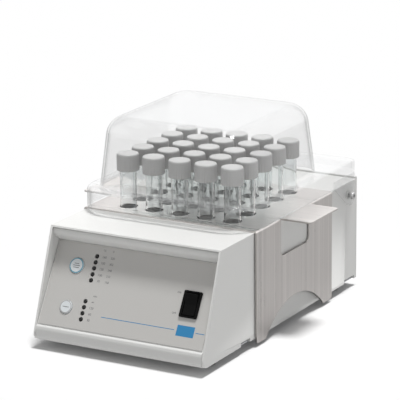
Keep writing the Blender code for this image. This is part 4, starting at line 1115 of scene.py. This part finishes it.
@dataclass
class Rack:
    """The lift-out rack, folded from one brushed sheet, with its vials and caps."""

    sheet: float = 1.5 * MM
    fold: float = 2.2 * MM
    grid_count: int = 5
    pitch: float = 28.0 * MM
    hole_radius: float = 8.75 * MM
    flap_half: float = 28.5 * MM
    window_half: float = 29.0 * MM
    window_bottom: float = 74.6 * MM
    window_corner: float = 6.0 * MM
    flap_corner: float = 2.5 * MM
    leg_corner: float = 3.0 * MM
    outer_x: float = 92.5 * MM
    arch_radius: float = 80.0 * MM
    arch_top: float = 30.0 * MM
    vial_radius: float = 8.0 * MM
    vial_wall: float = 1.1 * MM
    cap_radius: float = 10.75 * MM
    cap_rim: float = 0.5 * MM
    cap_shoulder: float = 2.0 * MM
    cap_crown: float = 1.8 * MM
    socket_slack: float = 0.45 * MM
    rib_count: int = 44
    rib_depth: float = 0.42 * MM
    fold_cuts: int = 5
    hole_steps: int = 48

    def __post_init__(self) -> None:
        """Take the rack's place from its node."""
        self.low, self.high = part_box("vial_rack")
        self.middle_y = (self.low.y + self.high.y) / 2
        self.fold_start = self.outer_x - self.fold
        self.fold_length = self.fold * QUARTER

    def build(self) -> None:
        """Make the rack, the vials and the caps, and dress the plate under them."""
        self.folded_sheet()
        for index in range(1, self.grid_count + 1):
            self.row(index)
        dress(Finishes.STEEL, "bay_plate")

    def offsets(self) -> list[float]:
        """Return the vials' places along one side of the grid, from its middle."""
        return [(index - (self.grid_count - 1) / 2) * self.pitch for index in range(self.grid_count)]

    def unrolled(self, height: float) -> float:
        """Return how far from the middle a height on the side lies in the flat sheet."""
        return self.fold_start + self.fold_length + (self.high.z - self.fold - height)

    def pattern(self) -> BMesh:
        """Draw the flat sheet.

        Returns:
            The sheet, with its arches, its holes and a slot round each grip flap.
        """
        leg = self.unrolled(self.low.z)
        centre = self.unrolled(self.arch_top - self.arch_radius)
        reach = math.acos((centre - leg) / self.arch_radius)
        curve = arc(centre, self.middle_y, self.arch_radius, math.pi + reach, math.pi - reach, 28)
        arch = [(point.x, point.y, 0.0) for point in curve]
        right = [(leg, self.low.y, self.leg_corner), *arch, (leg, self.high.y, self.leg_corner)]
        left = [(-x, y, radius) for x, y, radius in reversed(right)]
        last = self.hole_steps - 1
        turn = math.tau * last / self.hole_steps
        holes = [arc(x, self.middle_y + y, self.hole_radius, 0, turn, last)
                 for x in self.offsets() for y in self.offsets()]
        slot = rounded(self.slot_corners(), 6)
        for side in (-1, 1):
            holes.append([Vector((side * point.x, point.y)) for point in slot])
        return flat_sheet(rounded(right + left, 5), holes)

    def slot_corners(self) -> list[Corner]:
        """Lay out the slot that frees the right grip flap.

        Returns:
            Its corners in the flat sheet.
        """
        window = self.unrolled(self.window_bottom)
        near = self.middle_y - self.window_half
        far = self.middle_y + self.window_half
        return [
            (self.fold_start, near, 0), (window, near, self.window_corner), (window, far, self.window_corner),
            (self.fold_start, far, 0), (self.fold_start, self.middle_y + self.flap_half, 0),
            (self.high.x, self.middle_y + self.flap_half, self.flap_corner),
            (self.high.x, self.middle_y - self.flap_half, self.flap_corner),
            (self.fold_start, self.middle_y - self.flap_half, 0),
        ]

    def folded_place(self, point: Vector) -> Vector:
        """Fold the sides down, and leave the grip flaps level.

        Args:
            point: a point of the flat sheet.

        Returns:
            Its place once the sheet is folded.
        """
        across = abs(point.x)
        slack = 0.05 * MM
        on_flap = abs(point.y - self.middle_y) < self.flap_half + slack and across < self.high.x + slack
        if across <= self.fold_start or on_flap:
            return Vector((point.x, point.y, self.high.z))
        turn = min((across - self.fold_start) / self.fold, QUARTER)
        rest = max(across - self.fold_start - self.fold_length, 0)
        x = self.fold_start + self.fold * math.sin(turn)
        z = self.high.z - self.fold * (1 - math.cos(turn)) - rest
        return Vector((math.copysign(x, point.x), point.y, z))

    def folded_sheet(self) -> None:
        """Cut the flat sheet along its folds, fold it and give it its thickness."""
        shape = self.pattern()
        for side in (-1, 1):
            for cut in range(self.fold_cuts + 1):
                across = side * (self.fold_start + self.fold_length * cut / self.fold_cuts)
                bmesh.ops.bisect_plane(shape, geom=[*shape.verts, *shape.edges, *shape.faces], dist=WELD,
                                       plane_co=(across, 0, 0), plane_no=(1, 0, 0))
        for vert in shape.verts:
            vert.co = self.folded_place(vert.co)
        add_piece("folded_rack", shape, Finishes.STEEL, Body.CASING, ["vial_rack"],
                  [thickened(self.sheet), softened(0.22 * MM, 2, 60)])

    def vial(self) -> BMesh:
        """Turn one glass vial.

        Returns:
            The vial about the Z axis, at its height.
        """
        low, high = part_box("vials_row_1")
        wall = self.vial_wall
        outer = self.vial_radius
        profile = rounded([
            (0, low.z + wall, 0), (outer - wall, low.z + wall, 1.6 * MM), (outer - wall, high.z, 0.4 * MM),
            (outer, high.z, 0.4 * MM), (outer, low.z, 2.4 * MM), (0, low.z, 0),
        ], 4)
        return revolved(profile, 36)

    def cap(self) -> BMesh:
        """Draw one ribbed screw cap up from its rim, and down again inside.

        Returns:
            The cap about the Z axis, at its height.
        """
        low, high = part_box("caps_row_1")
        shape = bmesh.new()
        bmesh.ops.create_circle(shape, segments=self.rib_count * 2, radius=self.cap_radius, cap_ends=False)
        root = self.cap_radius - self.rib_depth
        for index, vert in enumerate(shape.verts):
            if index % 2:
                vert.co = vert.co.normalized() * root
        bmesh.ops.translate(shape, vec=(0, 0, low.z + self.cap_rim), verts=shape.verts)
        ribs = high.z - self.cap_shoulder - low.z - self.cap_rim
        steps = (
            (Vector((0, 0, ribs)), 1.0),
            (Vector((0, 0, 0.5 * MM)), root / self.cap_radius),
            (Vector((0, 0, 0.8 * MM)), 0.985),
            (Vector((0, 0, 0.5 * MM)), 0.95),
            (Vector((0, 0, 0.2 * MM)), 0.90),
            (Vector((0, 0, -0.25 * MM)), 0.96),
        )
        rim = list(shape.edges)
        loop = rim
        for index, (rise, scale) in enumerate(steps):
            loop = bounded_loop(shape, loop, self.drawn_in(rise, scale, index == 1))
        bmesh.ops.contextual_create(shape, geom=loop)
        rim_scale = 0.97
        socket = (self.vial_radius + self.socket_slack) / self.cap_radius
        depth = high.z - low.z - self.cap_crown
        inner = bounded_loop(shape, rim, self.drawn_in(Vector((0, 0, -self.cap_rim)), rim_scale, False))
        inner = bounded_loop(shape, inner, self.drawn_in(Vector(), socket / rim_scale, True))
        inner = bounded_loop(shape, inner, self.drawn_in(Vector((0, 0, depth)), 1.0, False))
        bmesh.ops.contextual_create(shape, geom=inner)
        bmesh.ops.recalc_face_normals(shape, faces=shape.faces)
        return shape

    def drawn_in(self, rise: Vector, scale: float, even: bool) -> Callable[[BMVert], Vector]:
        """Return the move of a loop's vertices: up by a rise and in to a scale.

        Args:
            rise: the move along Z.
            scale: the new radius as a share of the cap's, or of the vertex's own where not even.
            even: whether the ribs end, so that every vertex takes the same radius.

        Returns:
            A function from a vertex to its move.
        """

        def move(vert: BMVert) -> Vector:
            """Work out one vertex's move.

            Args:
                vert: the vertex.

            Returns:
                Its move.
            """
            flat = Vector((vert.co.x, vert.co.y, 0))
            target = flat.normalized() * self.cap_radius * scale if even else flat * scale
            return target - flat + rise

        return move

    def row(self, index: int) -> None:
        """Make one row of vials and its caps.

        Args:
            index: the row, counted from 1 at the front.
        """
        y = self.middle_y + self.offsets()[index - 1]
        spots = [Matrix.Translation((x, y, 0)) for x in self.offsets()]
        add_piece(f"glass_vials_row_{index}", repeated(self.vial(), spots), Finishes.GLASS, Body.CASING,
                  [f"vials_row_{index}"])
        add_piece(f"screw_caps_row_{index}", repeated(self.cap(), spots), Finishes.CAP, Body.CASING,
                  [f"caps_row_{index}"])


@dataclass
class Cover:
    """The one-piece clear cover with its ears, and the screws it hangs on."""

    sheet: float = 2.0 * MM
    flange_z: float = 132.0 * MM
    front_radius: float = 35.0 * MM
    rear_radius: float = 8.0 * MM
    edge_radius: float = 2.0 * MM
    dome_half: float = 81.0 * MM
    dome_front: float = -65.0 * MM
    dome_rear: float = 99.0 * MM
    dome_draft: float = 6.1 * MM
    dome_corner: float = 24.0 * MM
    dome_fillet: float = 17.0 * MM
    foot_fillet: float = 3.0 * MM
    pivot_y: float = 134.5 * MM
    pivot_z: float = 97.8 * MM
    ear_x: float = 91.6 * MM
    ear_sheet: float = 1.8 * MM
    ear_radius: float = 10.0 * MM
    ear_front: float = 100.0 * MM
    ear_top: float = 119.0 * MM
    side_bottom: float = 112.2 * MM
    front_bottom: float = 110.35 * MM
    rear_bottom: float = 122.5 * MM
    step_start: float = -70.0 * MM
    step_length: float = 9.0 * MM
    rear_step: float = 4.0 * MM
    edge_softening: float = 0.4 * MM
    ear_hole: float = 2.6 * MM
    screw_head_radius: float = 3.7 * MM
    screw_head_height: float = 2.4 * MM
    screw_shank_radius: float = 2.0 * MM
    screw_key: float = 1.7 * MM
    screw_key_depth: float = 1.4 * MM

    def __post_init__(self) -> None:
        """Take the cover's place from its node."""
        self.low, self.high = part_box("clear_cover")

    def build(self) -> None:
        """Make the cover with its ears, and its hinge screws."""
        self.cover()
        self.hinges()
        dress(Finishes.NYLON, "hinge_spacer_left", "hinge_spacer_right")

    def open_box(self, low: Sequence[float], high: Sequence[float]) -> BMesh:
        """Return a box without its floor.

        Args:
            low: its lowest corner.
            high: its highest corner.

        Returns:
            The open box.
        """
        shape = block(low, high)
        floor = [face for face in shape.faces if face.normal.z < -0.5]
        bmesh.ops.delete(shape, geom=floor, context="FACES_ONLY")
        return shape

    def upright(self, shape: BMesh) -> list[BMEdge]:
        """Return the edges that rise between the walls."""
        return [edge for edge in shape.edges if abs(edge.verts[0].co.z - edge.verts[1].co.z) > MM]

    def top_rim(self, shape: BMesh, height: float) -> list[BMEdge]:
        """Return the edges round the top."""
        return [edge for edge in shape.edges if all(vert.co.z > height - WELD for vert in edge.verts)]

    def skirt(self) -> BMesh:
        """Draw the skirt with its rounded corners and the flange's outer edge.

        Returns:
            The open skirt, with a lid where the flange goes.
        """
        shape = self.open_box((self.low.x, self.low.y, self.front_bottom),
                              (self.high.x, self.high.y, self.flange_z))
        front = [edge for edge in self.upright(shape) if edge.verts[0].co.y < 0]
        bevelled(shape, front, self.front_radius, 14)
        rear = [edge for edge in self.upright(shape) if edge.verts[0].co.y > self.high.y - WELD]
        bevelled(shape, rear, self.rear_radius, 8)
        bevelled(shape, self.top_rim(shape, self.flange_z), self.edge_radius, 4)
        rear_step = self.high.y - self.rear_step
        for y in (self.step_start, self.step_start + 4 * MM, self.step_start + self.step_length,
                  rear_step - 0.2 * MM, rear_step + 0.2 * MM):
            bmesh.ops.bisect_plane(shape, geom=[*shape.verts, *shape.edges, *shape.faces], dist=WELD,
                                   plane_co=(0, y, 0), plane_no=(0, 1, 0))
        for vert in shape.verts:
            if vert.co.z < self.front_bottom + WELD:
                vert.co.z = self.lower_edge(vert.co.y)
        return shape

    def lower_edge(self, y: float) -> float:
        """Follow the skirt's lower edge: on the casing in front, over the rack at the sides.

        Args:
            y: a place from front to rear.

        Returns:
            The edge's height there.
        """
        if y > self.high.y - self.rear_step:
            return self.rear_bottom
        rise = min(max((y - self.step_start) / self.step_length, 0), 1)
        return self.front_bottom + (self.side_bottom - self.front_bottom) * rise

    def dome(self) -> BMesh:
        """Draw the dome from its crown down to its foot fillet.

        Returns:
            The open dome.
        """
        shape = self.open_box((-self.dome_half, self.dome_front, self.flange_z + self.foot_fillet),
                              (self.dome_half, self.dome_rear, self.high.z))
        middle = (self.dome_front + self.dome_rear) / 2
        for vert in shape.verts:
            if vert.co.z > self.high.z - WELD:
                vert.co.x -= math.copysign(self.dome_draft, vert.co.x)
                vert.co.y -= math.copysign(self.dome_draft, vert.co.y - middle)
        bevelled(shape, self.upright(shape), self.dome_corner, 12)
        bevelled(shape, self.top_rim(shape, self.high.z), self.dome_fillet, 12)
        foot = [edge for edge in shape.edges if edge.is_boundary]
        steps = 4
        for step in range(steps):
            before = QUARTER * step / steps
            after = QUARTER * (step + 1) / steps
            out = self.foot_fillet * (math.cos(before) - math.cos(after))
            fall = self.foot_fillet * (math.sin(after) - math.sin(before))
            foot = bounded_loop(shape, foot, self.spread(out, fall))
        return shape

    def spread(self, out: float, fall: float) -> Callable[[BMVert], Vector]:
        """Spread the dome's foot outwards in plan and down.

        Args:
            out: how far it goes outwards.
            fall: how far it goes down.

        Returns:
            A function from a vertex to its move.
        """
        middle = (self.dome_front + self.dome_rear) / 2
        half_y = (self.dome_rear - self.dome_front) / 2

        def move(vert: BMVert) -> Vector:
            """Return one vertex's move."""
            return Vector((out * vert.co.x / self.dome_half, out * (vert.co.y - middle) / half_y, -fall))

        return move

    def ear(self, side: int) -> BMesh:
        """Cut the ear that carries the cover on one side.

        Args:
            side: 1 on the right, -1 on the left.

        Returns:
            The ear in its place.
        """
        foot = Vector((self.ear_front, self.side_bottom))
        centre = Vector((self.pivot_y, self.pivot_z))
        reach = (centre - foot).length
        fall = math.atan2(foot.y - centre.y, centre.x - foot.x) + math.asin(self.ear_radius / reach)
        outline = [Vector((self.ear_front, self.ear_top)), foot,
                   *arc(*centre, self.ear_radius, -QUARTER - fall, 0, 16),
                   Vector((self.pivot_y + self.ear_radius, self.ear_top))]
        hole = arc(*centre, self.ear_hole, 0, math.tau * 27 / 28, 27)
        plate = raised(flat_sheet(outline, [hole]), self.ear_sheet)
        upright = Matrix(((0, 0, 1, 0), (1, 0, 0, 0), (0, 1, 0, 0), (0, 0, 0, 1)))
        start = self.ear_x if side > 0 else -self.ear_x - self.ear_sheet
        return moved(plate, Matrix.Translation((start, 0, 0)) @ upright)

    def formed_sheet(self) -> BMesh:
        """Join the skirt and the dome by the flange.

        Returns:
            The formed sheet's outer face.
        """
        shape = merged(self.skirt(), self.dome())
        flange = [face for face in shape.faces
                  if face.normal.z > 0.99 and face.calc_center_median().z < self.flange_z + WELD
                  and face.calc_area() > MM]
        bmesh.ops.delete(shape, geom=flange, context="FACES_ONLY")
        loose = [edge for edge in shape.edges
                 if edge.is_boundary and all(abs(vert.co.z - self.flange_z) < WELD for vert in edge.verts)]
        wire = [edge for edge in shape.edges if edge.is_wire]
        bmesh.ops.delete(shape, geom=wire, context="EDGES")
        bmesh.ops.triangle_fill(shape, use_beauty=True, edges=loose)
        bmesh.ops.remove_doubles(shape, verts=shape.verts, dist=WELD)
        bmesh.ops.recalc_face_normals(shape, faces=shape.faces)
        if sum(face.normal.z * face.calc_area() for face in shape.faces) < 0:
            bmesh.ops.reverse_faces(shape, faces=shape.faces)
        return shape

    def cover(self) -> None:
        """Give the formed sheet its thickness, and add the ears."""
        shape = self.formed_sheet()
        mesh = bpy.data.meshes.new("sheet")
        shape.to_mesh(mesh)
        shape.free()
        mesh = evaluated(mesh, [thickened(self.sheet), softened(self.edge_softening, 2, 60)])
        formed = bmesh.new()
        formed.from_mesh(mesh)
        bpy.data.meshes.remove(mesh)
        add_piece("hinged_cover", merged(formed, self.ear(-1), self.ear(1)), Finishes.CLEAR, Body.COVER,
                  ["clear_cover"])

    def hinges(self) -> None:
        """Make the two pivot screws."""
        for side, name in ((-1, "left"), (1, "right")):
            node = f"hinge_screw_{name}"
            low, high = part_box(node)
            reach = high.x - low.x
            seat = reach - self.screw_head_height
            profile = rounded([
                (self.screw_head_radius - 0.8 * MM, reach, 0),
                (self.screw_head_radius, reach - 0.3 * MM, 0.5 * MM),
                (self.screw_head_radius, seat, 0),
                (self.screw_shank_radius, seat, 0),
                (self.screw_shank_radius, 0.5 * MM, 0.3 * MM),
                (0, 0, 0),
            ], 3)
            screw = socket_screw(profile, self.screw_key, self.screw_key_depth, 36)
            inner = low.x if side > 0 else high.x
            outwards = Matrix.Rotation(side * QUARTER, 4, "Y")
            turn = Matrix.Translation((inner, self.pivot_y, self.pivot_z)) @ outwards
            add_piece(f"pivot_screw_{name}", moved(screw, turn), Finishes.SCREW, Body.CASING, [node])


@dataclass
class Inside:
    """The heating block, its insulation, the boards and the mains parts."""

    inlet_edge: float = 0.6 * MM
    drawer_edge: float = 0.5 * MM

    def build(self) -> None:
        """Round the inlet's mouldings and dress what stays."""
        add_piece("inlet_moulding", from_node("mains_inlet"), Finishes.BLACK, Body.CASING, ["mains_inlet"],
                  [softened(self.inlet_edge, 3)])
        add_piece("fuse_holder", from_node("fuse_drawer"), Finishes.BLACK, Body.CASING, ["fuse_drawer"],
                  [softened(self.drawer_edge, 3)])
        dress(Finishes.ALLOY, "heating_block")
        dress(Finishes.ZINC, "inner_tray", "heater_clamp")
        dress(Finishes.SCREW, "temperature_sensor", "safety_thermostat")
        dress(Finishes.SILICONE, "foil_heater")
        dress(Finishes.WOOL, "insulation_wall", "insulation_base")
        dress(Finishes.BOARD, "power_board")
        dress(Finishes.DARK, "solid_state_relay")
        dress(Finishes.TAPE, "transformer")
        dress(Finishes.BRASS, "inlet_contacts")
        dress(Finishes.LEAD, "panel_cable", "heater_leads", "mains_leads")


@dataclass
class Studio:
    """The floor, the lights and the camera."""

    heading: float = 29.464
    pitch: float = 15.745
    roll: float = -0.597
    lens: float = 226.13
    sensor: float = 36.0
    eye: Corner = (1.1293, -1.9991, 0.7621)
    room_light: float = 0.30
    seen_light: float = 1.0
    gloss_light: float = 1.6
    glass_light: float = 0.6
    overhead_light: float = 2.6
    overhead_spread: float = 12.0
    overhead_from: Corner = (0.12, 0.09, 1.0)
    floor_bounce: float = 0.66
    floor_mirrored: float = 0.58
    floor_seen: float = 0.84
    floor_glow: float = 0.06

    def build(self) -> None:
        """Make the stage and set the camera."""
        self.floor()
        self.lights()
        self.camera()

    def floor(self) -> None:
        """Lay a wide pale floor."""
        shape = bmesh.new()
        bmesh.ops.create_grid(shape, x_segments=1, y_segments=1, size=30.0)
        mesh = bpy.data.meshes.new("studio_floor")
        shape.to_mesh(mesh)
        shape.free()
        material = bpy.data.materials.new("studio_floor")
        shader = Shader(material)
        seen = shader.node("ShaderNodeLightPath", {}, {}, "Is Camera Ray")
        mirrored = shader.node("ShaderNodeLightPath", {}, {}, "Is Glossy Ray")
        bounced = shader.mix(mirrored, (self.floor_bounce,) * 3, (self.floor_mirrored,) * 3)
        glow = shader.mix(seen, (0.0, 0.0, 0.0), (self.floor_glow,) * 3)
        shader.set(Base_Color=shader.mix(seen, bounced, (self.floor_seen,) * 3), Roughness=0.8,
                   Specular_IOR_Level=0.0, Emission_Color=glow, Emission_Strength=1.0)
        mesh.materials.append(material)
        floor = bpy.data.objects.new("studio_floor", mesh)
        bpy.context.scene.collection.objects.link(floor)

    def lights(self) -> None:
        """Light the object evenly from a pale room and softly from above."""
        bpy.context.scene.view_settings.view_transform = "Standard"
        world = bpy.data.worlds.new("studio")
        shader = Shader(world, "Background")
        level: Value | float = self.room_light
        for ray, strength in (("Is Camera Ray", self.seen_light), ("Is Glossy Ray", self.gloss_light),
                              ("Is Transmission Ray", self.glass_light)):
            level = shader.node("ShaderNodeLightPath", {}, {}, ray) * (strength - self.room_light) + level
        shader.set(Strength=level, Color=(1.0, 1.0, 1.0))
        bpy.context.scene.world = world
        data = bpy.data.lights.new("overhead", "SUN")
        data.energy = self.overhead_light
        data.angle = math.radians(self.overhead_spread)
        light = bpy.data.objects.new("overhead", data)
        light.rotation_euler = (-Vector(self.overhead_from)).to_track_quat("-Z", "Y").to_euler()
        bpy.context.scene.collection.objects.link(light)

    def camera(self) -> None:
        """Set the camera at the object's viewing angle."""
        heading = math.radians(self.heading)
        pitch = math.radians(self.pitch)
        level = math.cos(pitch)
        ahead = Vector((-math.sin(heading) * level, math.cos(heading) * level, -math.sin(pitch)))
        data = bpy.data.cameras.new("view")
        data.lens = self.lens
        data.sensor_width = self.sensor
        data.clip_end = 100.0
        camera = bpy.data.objects.new("view", data)
        roll = Matrix.Rotation(math.radians(self.roll), 4, "Z")
        turn = ahead.to_track_quat("-Z", "Y").to_matrix().to_4x4() @ roll
        camera.matrix_world = Matrix.Translation(self.eye) @ turn
        bpy.context.scene.collection.objects.link(camera)
        bpy.context.scene.camera = camera


def main() -> None:
    """Build the heater's looks and its stage."""
    logging.basicConfig(level=logging.INFO, format="%(message)s")
    for assembly in (Casing(), ControlPanel(), Rack(), Cover(), Inside(), Studio()):
        LOG.info("building %s", type(assembly).__name__)
        assembly.build()


if __name__ == "__main__":
    main()
